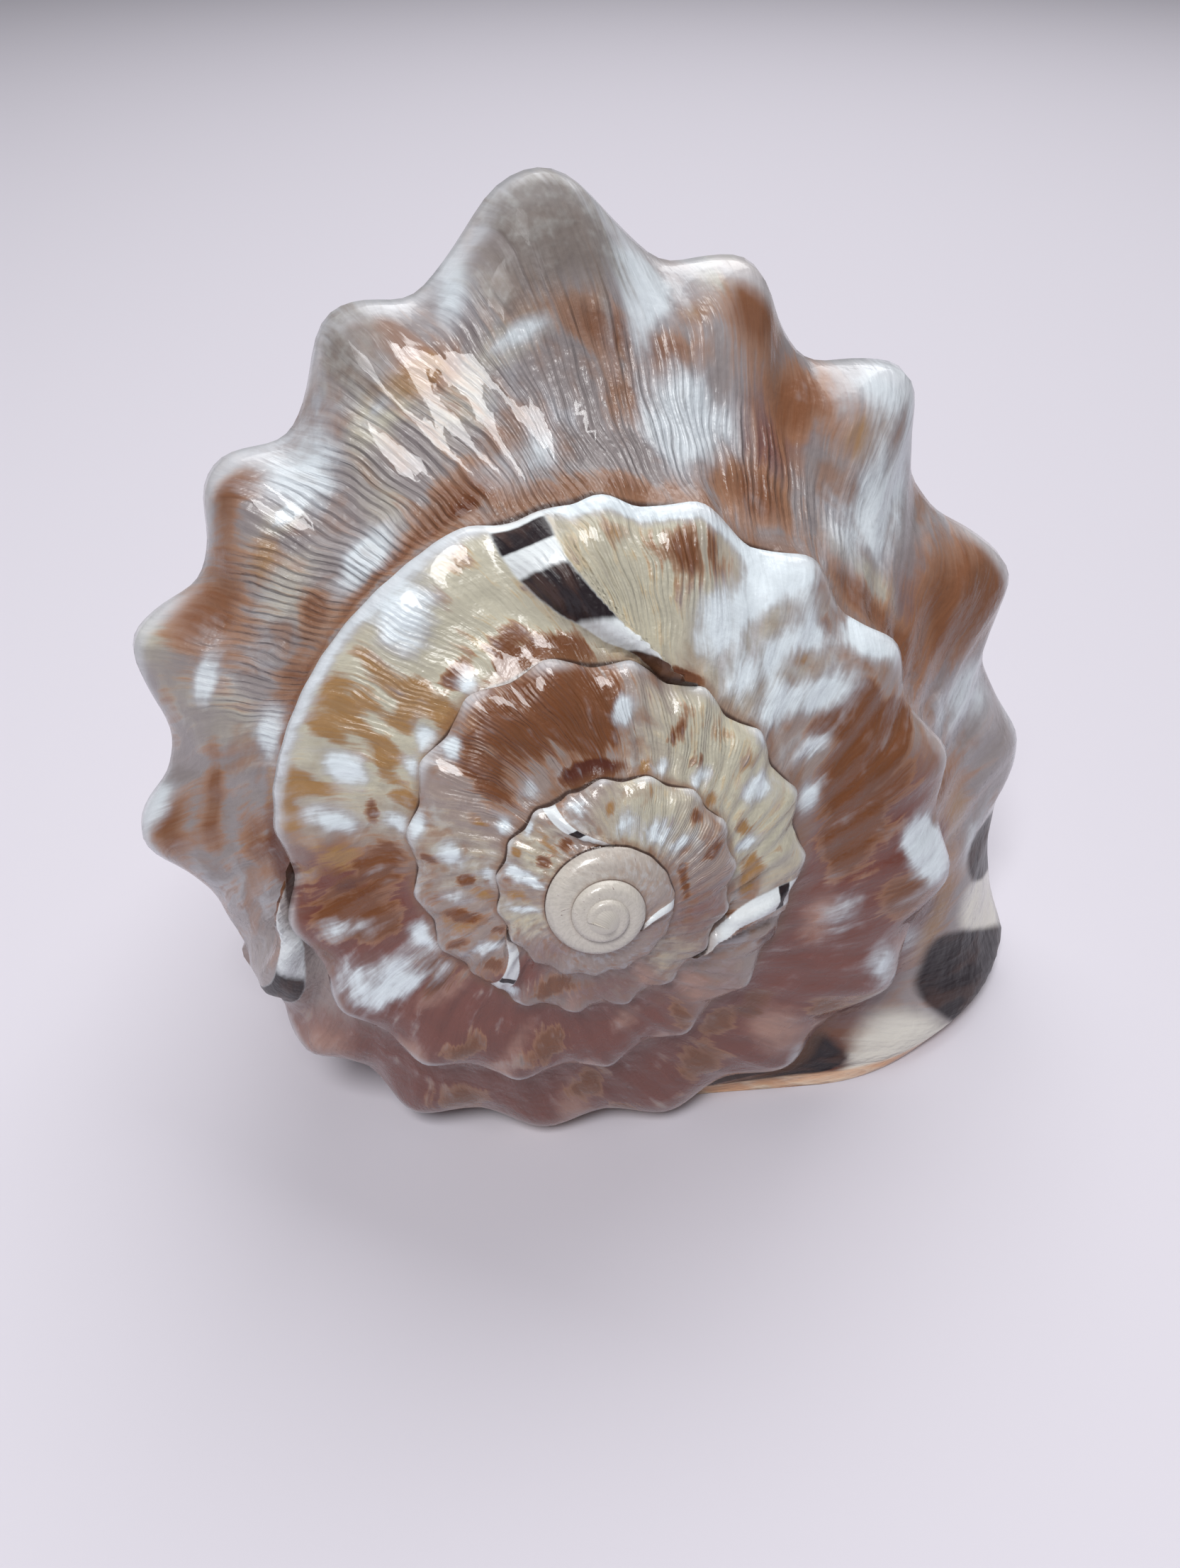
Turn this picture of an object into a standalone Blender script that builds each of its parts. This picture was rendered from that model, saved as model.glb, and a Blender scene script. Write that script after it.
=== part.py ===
"""Horned helmet shell, lying on its aperture with the spire raised: one solid, grown as one piece.

The shell is a right-handed coil. Its keel, the edge that carries the horns, follows a spiral that
widens by the same factor each turn. A whorl is a strip from the suture, where it grips the whorl
before it, out over the shoulder slope to the keel, and down to the next suture. The last whorl
runs on from its keel down to the canal at the front. Turns are counted back from the outer lip,
which is turn 0, and every length is in metres.
"""
import math

import bmesh
import bpy
import numpy as np

NAME = "helmet_shell"

# Driving dimensions of the coil
LIP_RADIUS = 0.065  # shell axis to keel at the outer lip, before the last whorl draws in
GROWTH = 1.744  # how many times wider each turn is than the one before
SPIRE_DEPTH = 0.575  # depth of the keel under the apex, for each metre of its radius
LAST_DROP = 0.0065  # how far the last turn sinks below that cone, at the lip
LIP_RISE = 0.0195  # how far the keel climbs back towards the spire where it becomes the lip
LIP_RISE_TURNS = (-0.06, 0.05)  # where that climb starts and ends
FIRST_TURN = -5.5  # where the modelled coil starts, inside the smooth nucleus
CLOSING_TURN = 0.17  # where the lip has run out onto the whorl before it
CANAL_DEPTH = 0.1270  # depth of the canal tip under the apex
CANAL_RADIUS = 0.095  # radius of the canal tip, for each metre of keel radius
CANAL_LIFT = 0.0190  # how far the canal tip turns up

# How it lies: the apex, the axis that runs from it to the canal, and the azimuth of the lip
APEX = (-0.0027, -0.0609, 0.0455)
AXIS_FALL = math.radians(15.6)  # the canal end is lower than the apex
AXIS_TURN = math.radians(8.5)  # the canal end swings to the left
LIP_AZIMUTH = math.radians(35.0)  # clockwise from the right, seen from the apex

# Horns of the last whorl: turn, height, half width in turns
HORNS = (
    (-0.603, 0.0050, 0.020),
    (-0.532, 0.0052, 0.022),
    (-0.470, 0.0050, 0.020),
    (-0.413, 0.0062, 0.020),
    (-0.352, 0.0098, 0.028),
    (-0.291, 0.0062, 0.020),
    (-0.232, 0.0070, 0.021),
    (-0.155, 0.0058, 0.023),
    (-0.091, 0.0050, 0.023),
)
HORN_ROUND = 2.0  # how blunt the horns are
KNOB_PITCH = 0.0575  # turns between the knobs of the spire
KNOB_STARTS = (-6.10, -5.42, -4.74, -4.07, -3.40, -2.72, -2.035, -1.350, -0.66)  # first turn of each row
KNOB_HEIGHT = 0.065  # for each metre of keel radius
KNOB_WIDTH = 0.017  # half width in turns
FIRST_KNOBS = (-4.6, -3.3)  # turns over which the smooth first whorls gain their knobs
SMOOTH_RIM = (-1.585, -1.385)  # stretch whose knobs are buried under a rolled rim
RIM_HEIGHT = 0.080  # for each metre of keel radius

# Uneven growth: turn, share of the radius, half width in turns
SWELLS = (
    (-3.20, 0.13, 0.13),
    (-2.42, 0.18, 0.12),
    (-1.73, 0.12, 0.12),
    (-1.35, 0.06, 0.05),
    (-1.04, 0.12, 0.10),
    (-0.35, 0.09, 0.07),
)
LAST_DRAW_IN = 0.145  # how much the keel draws in after the last old lip, as a share

# Old lips, left as rolls across the slope: the turn where each meets its suture, its height against the
# others, and the turns by which it trails at the keel
VARICES = (
    (-0.595, 1.5, 0.082),
    (-1.260, 1.3, 0.108),
    (-1.975, 1.1, 0.080),
    (-2.645, 1.1, 0.080),
    (-3.310, 1.1, 0.100),
    (-4.000, 1.0, 0.080),
)
VARIX_TRAIL = 0.27  # share of the slope over which most of that trailing happens
VARIX_HEIGHT = 0.055  # for each metre of keel radius
NUCLEUS_ARCH = 0.16  # how much rounder the first whorls are
LIP_FLARE = 0.0045  # how far the rolled edge of the outer lip stands out
LIP_EDGE = (-0.050, 0.010, 0.070, 0.130)  # turns where it starts, stands full, starts to fade and ends
BEAD = 0.0028  # how far the outer lip rolls out just above the surface that it rests on
BEAD_RISE, BEAD_WIDTH = 0.0045, 0.0035  # height of that roll and its half width
BEAD_TURNS = (-0.15, -0.06)  # turns over which it starts
BODY_ROWS = ((0.25, 0.0020), (0.46, 0.0013))  # lower rows of small knobs: share of the way down, height

# Underside
SHIELD = 0.0050  # thickness of the callus on the inner side of the mouth
SHIELD_EDGE = (-0.735, -0.715)  # turns over which its free edge drops
DISH = 0.0030  # how far the underside hollows beside the mouth
DISH_WIDTH = 0.0180
RIM_ROUND = 0.0055  # rounding of the rim between the sides and the flat underside
MOUTH_START, MOUTH_END = 0.0350, 0.1400  # along the axis on the plan, from the apex
MOUTH_OFFSETS = (0.0215, 0.0020)  # its middle, right of the axis, at the back and the front
MOUTH_HALF_WIDTH = 0.0062
MOUTH_TEETH = 11
TOOTH = 0.0014
MOUTH_HEIGHT = 0.0120
WALL = 0.0042
CAVITY_TURNS = (-0.50, 0.085)
CAVITY_SPAN = (0.10, 0.74)  # from just under the shoulder, as shares of the way to the canal
CAVITY_FLOOR = 0.0050
CAVITY_HALF = 0.0037  # most half thickness of the hollow

# Mesh
STEPS = 120  # rows in each turn
SLOPE_COLUMNS = 10
UNDER_COLUMNS = 2
BODY_COLUMNS = 26
TRIANGLES = 9400

TAU = 2 * math.pi


def smooth(x, low, high):
    """0 below low, 1 above high, with an even S between them."""
    t = np.clip((x - low) / (high - low), 0.0, 1.0)
    return t * t * (3.0 - 2.0 * t)


def hill(x, middle, width):
    return np.exp(-(((x - middle) / width) ** 2))


def keel(turn):
    """Radius and depth of the keel, without its knobs."""
    radius = LIP_RADIUS * GROWTH**turn
    depth = SPIRE_DEPTH * radius + LAST_DROP * np.clip(turn + 1.1, 0.0, None) ** 2
    depth = depth - LIP_RISE * smooth(turn, *LIP_RISE_TURNS)
    swell = sum(share * hill(turn, middle, width) for middle, share, width in SWELLS)
    draw_in = LAST_DRAW_IN * smooth(turn, -0.88, -0.62) * (1 - 0.85 * smooth(turn, -0.11, -0.03))
    return radius * (1 + swell - 0.02 - draw_in), depth


def knob_height(turn):
    """How far the keel's knobs and horns stand out."""
    total = sum(
        height * np.exp(-(np.abs(turn - middle) / width) ** HORN_ROUND) for middle, height, width in HORNS
    )
    starts = np.array(KNOB_STARTS)
    stretch = np.clip(np.searchsorted(starts, turn, side="right") - 1, 0, len(starts) - 2)
    near = ((turn - starts[stretch]) / KNOB_PITCH + 0.5) % 1.0 - 0.5
    spire = smooth(turn, *FIRST_KNOBS) * KNOB_HEIGHT * LIP_RADIUS * GROWTH**turn
    spire = spire * hill(near * KNOB_PITCH, 0.0, KNOB_WIDTH)
    spire = spire * smooth(starts[stretch + 1] - turn, 0.0, 0.035)
    spire = spire * smooth(turn - starts[stretch], -0.001, 0.02)
    buried = smooth(turn, SMOOTH_RIM[0], SMOOTH_RIM[0] + 0.03)
    buried = buried * (1 - smooth(turn, SMOOTH_RIM[1] - 0.03, SMOOTH_RIM[1]))
    rim = RIM_HEIGHT * LIP_RADIUS * GROWTH**turn * buried
    return total + spire * (1 - buried) * (1 - smooth(turn, -0.70, -0.66)) + rim


def lower_suture(turn):
    """Radius and depth of the line where the next whorl grips this one."""
    radius, depth = keel(turn)
    knob = knob_height(turn)
    return 0.975 * radius + 0.7 * knob, depth + 0.035 * radius


def varix(turn, slope, radius):
    """Height of the old lips: each is a roll, with a quick fall on its newer side."""
    total = 0.0
    for middle, height, trail in VARICES:
        after = turn - middle + trail * (1 - np.exp(-slope / VARIX_TRAIL))
        roll = smooth(after, -0.028, -0.006) * (1 - smooth(after, 0.003, 0.012))
        grooves = 0.25 * hill(after, -0.036, 0.010) + 0.15 * hill(after, 0.016, 0.006)
        total = total + height * (roll - grooves)
    return VARIX_HEIGHT * radius * total


def lip_flare(turn):
    start, full, fade, end = LIP_EDGE
    return LIP_FLARE * smooth(turn, start, full) * (1 - smooth(turn, fade, end))


def shell_axes():
    """Unit vectors from the apex to the canal, to the right of the axis, and down from it."""
    fall, swing = AXIS_FALL, AXIS_TURN
    axis = np.array([-math.sin(swing) * math.cos(fall), math.cos(swing) * math.cos(fall), -math.sin(fall)])
    right = np.array([1.0, 0.0, 0.0]) - axis[0] * axis
    right /= np.linalg.norm(right)
    return axis, right, np.cross(axis, right)


def place(turn, radius, depth):
    """World points from turn, radius and depth along the axis."""
    axis, right, down = shell_axes()
    azimuth = TAU * turn + LIP_AZIMUTH
    around = np.cos(azimuth)[..., None] * right + np.sin(azimuth)[..., None] * down
    return np.array(APEX) + radius[..., None] * around + depth[..., None] * axis


def plan(points):
    """Distance right of the axis and along it, on the floor's plan."""
    x, y = points[..., 0] - APEX[0], points[..., 1] - APEX[1]
    along = -math.sin(AXIS_TURN) * x + math.cos(AXIS_TURN) * y
    across = math.cos(AXIS_TURN) * x + math.sin(AXIS_TURN) * y
    return across, along


def mouth_middle(along):
    share = np.clip((along - MOUTH_START) / (MOUTH_END - MOUTH_START), 0.0, 1.0)
    bend = 0.003 * np.sin(TAU * share)
    return MOUTH_OFFSETS[0] + (MOUTH_OFFSETS[1] - MOUTH_OFFSETS[0]) * share + bend


def dish(points):
    """Height of the hollow beside the mouth."""
    across, along = plan(points)
    beside = np.clip(1 - (np.abs(across - mouth_middle(along)) / DISH_WIDTH) ** 2, 0.0, 1.0)
    ends = smooth(along, MOUTH_START - 0.002, MOUTH_START + 0.012) * (1 - smooth(along, 0.112, 0.125))
    return DISH * beside * ends


def downward_share(turn):
    """How far a step outwards at this turn goes down, as a share of the step."""
    _, right, down = shell_axes()
    azimuth = TAU * turn + LIP_AZIMUTH
    return np.maximum(-np.cos(azimuth) * right[2] - np.sin(azimuth) * down[2], 1e-3)


def resting(turn, radius, depth, lift):
    """Radius cut short at the floor, with a rounded rim where the sides meet the flat underside."""
    axis, _, _ = shell_axes()
    downward = downward_share(turn)
    above = APEX[2] + depth * axis[2] + lift
    touching = place(turn, np.clip(above / downward, 0, 1), depth)
    limit = (above - dish(touching)) / downward
    bead = hill((limit - radius) * downward, BEAD_RISE, BEAD_WIDTH) * smooth(turn, *BEAD_TURNS)
    radius = radius + BEAD * bead * (1 - smooth(depth, 0.075, 0.100))
    rim = RIM_ROUND / downward
    near = np.clip(1 - np.abs(limit - radius) / rim, 0.0, None)
    return np.minimum(radius, limit) - rim * near**2 / 4


def body_radius(turn, share):
    """Radius of the last whorl, share of the way from its keel to the canal."""
    radius, _ = keel(turn)
    return radius * (0.975 - (0.975 - CANAL_RADIUS) * share**1.65)


def last_whorl(turn, share):
    """Radius and depth on the last whorl below the keel."""
    start_radius, start_depth = lower_suture(turn)
    radius = body_radius(turn, share) + 0.7 * knob_height(turn) * np.exp(-share / 0.09)
    for row, height in BODY_ROWS:
        small = height * np.clip(knob_height(turn) / 0.005, 0.0, 1.5)
        radius = radius + small * hill(share, row, 0.050) + 0.3 * height * hill(share, row, 0.030)
    radius = radius + varix(turn, 1.0, start_radius) * (1 - smooth(share, 0.5, 0.9))
    flare = lip_flare(turn) * (1 - smooth(share, 0.55, 1.0))
    callus = SHIELD * smooth(turn, -0.95, -0.90) * (1 - smooth(turn, *SHIELD_EDGE))
    callus = callus * smooth(share, 0.02, 0.10) * (1 - smooth(share, 0.78, 0.95))
    return radius + flare + callus, start_depth + share * (CANAL_DEPTH - start_depth)


def shell_points(turn, across):
    """World points of the outside: across is 0 to 1 over the slope, to 2 under the keel, to 3 below it."""
    turn, across = np.broadcast_arrays(turn, across)
    inner_radius, inner_depth = lower_suture(turn - 1)
    inner_knob = 0.7 * knob_height(turn - 1)
    outer_radius, outer_depth = keel(turn)
    knob = knob_height(turn)
    under_radius, under_depth = lower_suture(turn)
    slope = np.clip(across, 0.0, 1.0)
    under = np.clip(across - 1, 0.0, 1.0)
    body = np.clip(across - 2, 0.0, 1.0)

    base_radius = (inner_radius - inner_knob) * (1 - slope) + outer_radius * slope
    base_depth = inner_depth * (1 - slope) + outer_depth * slope
    width = outer_radius - inner_radius
    round_whorl = 0.055 + NUCLEUS_ARCH * (1 - smooth(turn, -5.0, -3.6))
    arch = round_whorl * width * np.sin(math.pi * slope) - 0.03 * width * np.sin(TAU * slope)
    ridge = varix(turn, slope, outer_radius) * np.sin(math.pi * slope**0.6) ** 0.4
    rise = arch + ridge
    stand = knob * smooth(slope, 0.40, 1.0) ** 1.2
    flare = lip_flare(turn) * smooth(slope, 0.3, 1.0)
    inner_foot = inner_knob * (1 - smooth(slope, 0.0, 0.25))
    slope_radius = base_radius + inner_foot + 0.45 * rise + 0.97 * stand + flare
    slope_depth = base_depth - 0.89 * rise - 0.25 * stand * (1 - smooth(slope, 0.97, 1.0))

    edge_radius = outer_radius + 0.97 * knob + flare
    round_over = np.sin(0.5 * math.pi * under)
    draw_back = 1 - np.cos(0.5 * math.pi * under)
    under_radius_here = edge_radius + (under_radius + flare - edge_radius) * draw_back
    under_depth_here = outer_depth + (under_depth - outer_depth) * round_over

    lower_radius, lower_depth = last_whorl(turn, body)
    radius = np.where(across <= 1, slope_radius, np.where(across <= 2, under_radius_here, lower_radius))
    depth = np.where(across <= 1, slope_depth, np.where(across <= 2, under_depth_here, lower_depth))

    ending = smooth(turn, 0.07, CLOSING_TURN)
    old_radius, old_depth = last_whorl(turn - 1, body)
    radius = radius + (np.where(across <= 2, inner_radius, old_radius) - radius) * ending
    depth = depth + (np.where(across <= 2, inner_depth, old_depth) - depth) * ending
    lift = CANAL_LIFT * smooth(body, 0.70, 1.0) ** 1.5
    points = place(turn, resting(turn, radius, depth, lift), depth)
    points[..., 2] += lift
    return points


def shell_mesh():
    """The outside as one closed mesh: each whorl's lower suture is the next whorl's upper one."""
    rows = round((CLOSING_TURN - FIRST_TURN) * STEPS)
    turns = CLOSING_TURN - (rows - np.arange(rows + 1)) / STEPS
    across = np.concatenate([
        np.linspace(0, 1, SLOPE_COLUMNS + 1),
        1 + np.linspace(0, 1, UNDER_COLUMNS + 1)[1:],
        2 + np.linspace(0, 1, BODY_COLUMNS + 1)[1:],
    ])
    seam = SLOPE_COLUMNS + UNDER_COLUMNS
    points = shell_points(turns[:, None], across[None, :])
    mesh = bmesh.new()
    verts = {}

    def vert(row, column):
        if row == rows:
            row, column = rows - STEPS, max(column, seam)
        if column == 0 and row >= STEPS:
            row, column = row - STEPS, seam
        if (row, column) not in verts:
            verts[row, column] = mesh.verts.new(points[row, column])
        return verts[row, column]

    def face(corners):
        different = list(dict.fromkeys(corners))
        if len(different) > 2:
            mesh.faces.new(different)

    for row in range(rows):
        columns = len(across) - 1 if row >= rows - STEPS else seam
        for column in range(columns):
            near, far = vert(row, column), vert(row + 1, column)
            face([near, far, vert(row + 1, column + 1), vert(row, column + 1)])

    start = [vert(row, 0) for row in range(STEPS + 1)]
    start += [vert(0, column) for column in range(seam - 1, 0, -1)]
    nucleus = mesh.verts.new(place(np.array(0.0), np.array(0.0), np.array(-0.0006)))
    for first, second in zip(start, start[1:] + start[:1]):
        face([second, first, nucleus])
    canal = [vert(row, len(across) - 1) for row in range(rows - STEPS, rows)]
    tip = mesh.verts.new(sum((v.co for v in canal), canal[0].co * 0) / len(canal))
    for first, second in zip(canal, canal[1:] + canal[:1]):
        face([first, second, tip])
    bmesh.ops.recalc_face_normals(mesh, faces=mesh.faces)
    return mesh


def link(name, mesh, collection):
    data = bpy.data.meshes.new(name)
    mesh.to_mesh(data)
    mesh.free()
    obj = bpy.data.objects.new(name, data)
    collection.objects.link(obj)
    return obj


def skin_rings(mesh, rings):
    """Closed skin over rings of corners, one after the other."""
    for one, two in zip(rings, rings[1:]):
        for corners in zip(one, one[1:] + one[:1], two[1:] + two[:1], two):
            mesh.faces.new(corners)
    mesh.faces.new(rings[0])
    mesh.faces.new(rings[-1])
    bmesh.ops.recalc_face_normals(mesh, faces=mesh.faces)


def mouth_cutter(collection):
    """A slit through the underside, toothed on the lip side, folded on the inner side, open at the front."""
    cos, sin = math.cos(AXIS_TURN), math.sin(AXIS_TURN)
    mesh = bmesh.new()
    rings = []
    for share in np.linspace(0, 1, 6 * MOUTH_TEETH + 1):
        along = MOUTH_START + (MOUTH_END - MOUTH_START) * share
        half = MOUTH_HALF_WIDTH * (0.35 + 0.65 * math.sin(math.pi * min(1.0, share * 1.1)) ** 0.6)
        tooth = TOOTH * max(0.0, math.cos(TAU * MOUTH_TEETH * share))
        tooth = tooth * smooth(share, 0.05, 0.2) * smooth(-share, -0.80, -0.70)
        top = MOUTH_HEIGHT * smooth(share, -0.15, 0.15) + CANAL_LIFT * 0.8 * smooth(share, 0.72, 0.95)
        middle = mouth_middle(along)
        ring = []
        for across, height in (
            (middle - half + 0.7 * tooth, -0.004),
            (middle + half - tooth, -0.004),
            (middle + half - tooth, top - 0.003),
            (middle + 0.5 * half, top),
            (middle - 0.5 * half, top),
            (middle - half + 0.7 * tooth, top - 0.003),
        ):
            ring.append(mesh.verts.new((
                APEX[0] + cos * across - sin * along,
                APEX[1] + sin * across + cos * along,
                height,
            )))
        rings.append(ring)
    skin_rings(mesh, rings)
    return link("mouth_cutter", mesh, collection)


def cavity_cutter(collection):
    """The hollow of the last whorl, back from the mouth for about half a turn."""
    axis, _, _ = shell_axes()
    turns = np.linspace(*CAVITY_TURNS, 27)
    share = np.linspace(*CAVITY_SPAN, 15)
    mesh = bmesh.new()
    rings = []
    for turn in turns:
        back = (turn - CAVITY_TURNS[1]) / (CAVITY_TURNS[0] - CAVITY_TURNS[1])
        closing = math.sqrt(max(0.0, 1 - back**4))
        _, start_depth = lower_suture(turn)
        depth = start_depth + share * (CANAL_DEPTH - start_depth)
        floor = (APEX[2] + depth * axis[2] - CAVITY_FLOOR) / downward_share(turn)
        outer = np.minimum(body_radius(turn, share) - WALL, floor)
        _, old_depth = lower_suture(turn - 1)
        old_share = np.clip((depth - old_depth) / (CANAL_DEPTH - old_depth), 0.0, 1.0)
        inner = np.maximum(body_radius(turn - 1, old_share) + WALL, 0.007)
        inner = inner * (1 - 0.4 * smooth(turn, -0.03, 0.06))
        inner = np.minimum(inner, outer - 0.003)
        half = np.clip((outer - inner) / 2, 0.0015, CAVITY_HALF)
        middle = outer - half
        half = half * (0.15 + 0.85 * closing)
        ends = np.sin(math.pi * np.linspace(0.04, 0.96, len(share))) ** 0.35
        radius = np.concatenate([middle + half * ends, (middle - half * ends)[::-1]])
        depth = np.concatenate([depth, depth[::-1]])
        points = place(np.full(len(radius), turn), radius, depth)
        rings.append([mesh.verts.new(p) for p in points])
    skin_rings(mesh, rings)
    return link("cavity_cutter", mesh, collection)


def shell_material():
    material = bpy.data.materials.new("glossy_shell")
    material.use_nodes = True
    shader = material.node_tree.nodes["Principled BSDF"]
    shader.inputs["Base Color"].default_value = (0.55, 0.42, 0.34, 1.0)
    shader.inputs["Roughness"].default_value = 0.25
    shader.inputs["Metallic"].default_value = 0.0
    return material


def main():
    for obj in list(bpy.data.objects):
        bpy.data.objects.remove(obj)
    parts = bpy.data.collections.new(NAME)
    cutters = bpy.data.collections.new("cutters")
    for collection in (parts, cutters):
        bpy.context.scene.collection.children.link(collection)

    shell = link(NAME, shell_mesh(), parts)
    shell.data.materials.append(shell_material())
    for cutter, solver in ((mouth_cutter(cutters), "EXACT"), (cavity_cutter(cutters), "MANIFOLD")):
        cutter.hide_render = True
        cutter.display_type = "WIRE"
        cut = shell.modifiers.new(cutter.name, "BOOLEAN")
        cut.operation = "DIFFERENCE"
        cut.solver = solver
        cut.object = cutter
    bpy.context.view_layer.update()
    evaluated = shell.evaluated_get(bpy.context.evaluated_depsgraph_get())
    count = sum(len(p.vertices) - 2 for p in evaluated.data.polygons)
    thin = shell.modifiers.new("fewer_triangles", "DECIMATE")
    thin.ratio = min(1.0, TRIANGLES / count)
    thin.use_collapse_triangulate = True


main()
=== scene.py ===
"""Looks for a horned helmet shell: its fine surface, its markings and its gloss, on a plain pale floor."""
import math

import bmesh
import bpy
import numpy as np
from mathutils import Matrix, Vector


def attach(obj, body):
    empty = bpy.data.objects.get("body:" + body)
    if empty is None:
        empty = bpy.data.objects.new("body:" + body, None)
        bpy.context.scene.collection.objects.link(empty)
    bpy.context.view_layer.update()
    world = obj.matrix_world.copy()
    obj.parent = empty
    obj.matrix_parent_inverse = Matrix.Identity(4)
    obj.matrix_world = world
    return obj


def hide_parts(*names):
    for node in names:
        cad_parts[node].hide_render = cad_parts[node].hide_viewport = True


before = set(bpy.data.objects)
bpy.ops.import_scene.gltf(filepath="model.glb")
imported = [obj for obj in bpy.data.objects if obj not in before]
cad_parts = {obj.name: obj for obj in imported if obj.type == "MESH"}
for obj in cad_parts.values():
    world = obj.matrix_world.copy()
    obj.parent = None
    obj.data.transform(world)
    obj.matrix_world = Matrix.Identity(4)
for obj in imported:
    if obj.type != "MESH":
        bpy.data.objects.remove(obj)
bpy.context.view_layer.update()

# The shell. A real one is a single piece of hard, dense chalk mineral that a sea snail lays down along a
# widening right-handed coil. Turns are counted back from the outer lip, which is turn 0. Across the strip,
# 0 to 1 is the shoulder slope, 1 to 2 the underside of the keel, and 2 to 3 the body down to the canal.
# Lengths are in metres. The radius grows by the same factor with each turn.
LIP_RADIUS = 0.065
GROWTH = 1.744
SPIRE_DEPTH = 0.575
EVEN_TRIM = 0.02
LAST_DROP = 0.0065
LAST_DROP_START = -1.1
LIP_RISE = 0.0195
LIP_RISE_TURNS = (-0.06, 0.05)
TAU = 2 * math.pi

# Uneven growth: turn, share of the radius, half width in turns
SWELLS = (
    (-3.20, 0.13, 0.13),
    (-2.42, 0.18, 0.12),
    (-1.73, 0.12, 0.12),
    (-1.35, 0.06, 0.05),
    (-1.04, 0.12, 0.10),
    (-0.35, 0.09, 0.07),
)
LAST_DRAW_IN = 0.145
DRAW_IN_TURNS = (-0.88, -0.62)
LIP_SPREAD = 0.85
LIP_SPREAD_TURNS = (-0.11, -0.03)


def smooth(x, low, high):
    """0 under low, 1 over high, with an even ramp between them."""
    t = np.clip((x - low) / (high - low), 0.0, 1.0)
    return t * t * (3.0 - 2.0 * t)


def hill(x, middle, width):
    return np.exp(-(((x - middle) / width) ** 2))


def keel(turn):
    """The knobbed edge's distance from the coil's axis, and its depth below the tip."""
    radius = LIP_RADIUS * GROWTH**turn
    depth = SPIRE_DEPTH * radius + LAST_DROP * np.clip(turn - LAST_DROP_START, 0.0, None) ** 2
    depth = depth - LIP_RISE * smooth(turn, *LIP_RISE_TURNS)
    swell = sum(share * hill(turn, middle, width) for middle, share, width in SWELLS)
    draw_in = LAST_DRAW_IN * smooth(turn, *DRAW_IN_TURNS) * (1 - LIP_SPREAD * smooth(turn, *LIP_SPREAD_TURNS))
    return radius * (1 + swell - EVEN_TRIM - draw_in), depth


# Horns of the last whorl: turn, height, half width in turns
HORNS = (
    (-0.603, 0.0050, 0.020),
    (-0.532, 0.0052, 0.022),
    (-0.470, 0.0050, 0.020),
    (-0.413, 0.0062, 0.020),
    (-0.352, 0.0098, 0.028),
    (-0.291, 0.0062, 0.020),
    (-0.232, 0.0070, 0.021),
    (-0.155, 0.0058, 0.023),
    (-0.091, 0.0050, 0.023),
)
HORN_ROUND = 2.0
# The spire's smaller knobs are evenly spaced from one start to the next, about two thirds of a turn on.
KNOB_STARTS = (-6.10, -5.42, -4.74, -4.07, -3.40, -2.72, -2.035, -1.350, -0.66)
KNOB_PITCH = 0.0575
KNOB_HEIGHT = 0.065
KNOB_WIDTH = 0.017
KNOBS_SET_IN = (-0.001, 0.02)
KNOBS_STOP = (0.0, 0.035)
FIRST_KNOBS = (-4.6, -3.3)
LAST_KNOBS = (-0.70, -0.66)
# On this stretch a smooth rim stands in place of the knobs.
SMOOTH_RIM = (-1.585, -1.385)
RIM_FADE = 0.03
RIM_HEIGHT = 0.080


def knob_height(turn):
    horns = sum(
        height * np.exp(-(np.abs(turn - middle) / width) ** HORN_ROUND) for middle, height, width in HORNS
    )
    starts = np.array(KNOB_STARTS)
    stretch = np.clip(np.searchsorted(starts, turn, side="right") - 1, 0, len(starts) - 2)
    near = ((turn - starts[stretch]) / KNOB_PITCH + 0.5) % 1.0 - 0.5
    spire = smooth(turn, *FIRST_KNOBS) * KNOB_HEIGHT * LIP_RADIUS * GROWTH**turn
    spire = spire * hill(near * KNOB_PITCH, 0.0, KNOB_WIDTH)
    spire = spire * smooth(starts[stretch + 1] - turn, *KNOBS_STOP)
    spire = spire * smooth(turn - starts[stretch], *KNOBS_SET_IN)
    buried = smooth(turn, SMOOTH_RIM[0], SMOOTH_RIM[0] + RIM_FADE)
    buried = buried * (1 - smooth(turn, SMOOTH_RIM[1] - RIM_FADE, SMOOTH_RIM[1]))
    rim = RIM_HEIGHT * LIP_RADIUS * GROWTH**turn * buried
    return horns + spire * (1 - buried) * (1 - smooth(turn, *LAST_KNOBS)) + rim


SUTURE_RADIUS = 0.975
SUTURE_KNOB = 0.7
SUTURE_DROP = 0.035


def lower_suture(turn):
    """The line just under the keel where the next whorl grips this one."""
    radius, depth = keel(turn)
    knob = knob_height(turn)
    return SUTURE_RADIUS * radius + SUTURE_KNOB * knob, depth + SUTURE_DROP * radius


# Old lips: the turn where each meets its suture, its height against the others, and the turns by which it
# trails at the keel
VARICES = (
    (-0.595, 1.5, 0.082),
    (-1.260, 1.3, 0.108),
    (-1.975, 1.1, 0.080),
    (-2.645, 1.1, 0.080),
    (-3.310, 1.1, 0.100),
    (-4.000, 1.0, 0.080),
)
VARIX_TRAIL = 0.27
VARIX_HEIGHT = 0.055
ROLL_RISE = (-0.028, -0.006)
ROLL_FALL = (0.003, 0.012)
# Grooves before and after each roll: depth against the roll, turns past the lip, half width
ROLL_GROOVES = ((0.25, -0.036, 0.010), (0.15, 0.016, 0.006))


def past_lip(turn, slope, middle, trail):
    """Turns past an old lip, which runs back towards the keel and nearly along the suture where it ends."""
    return turn - middle + trail * (1 - np.exp(-slope / VARIX_TRAIL))


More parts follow.
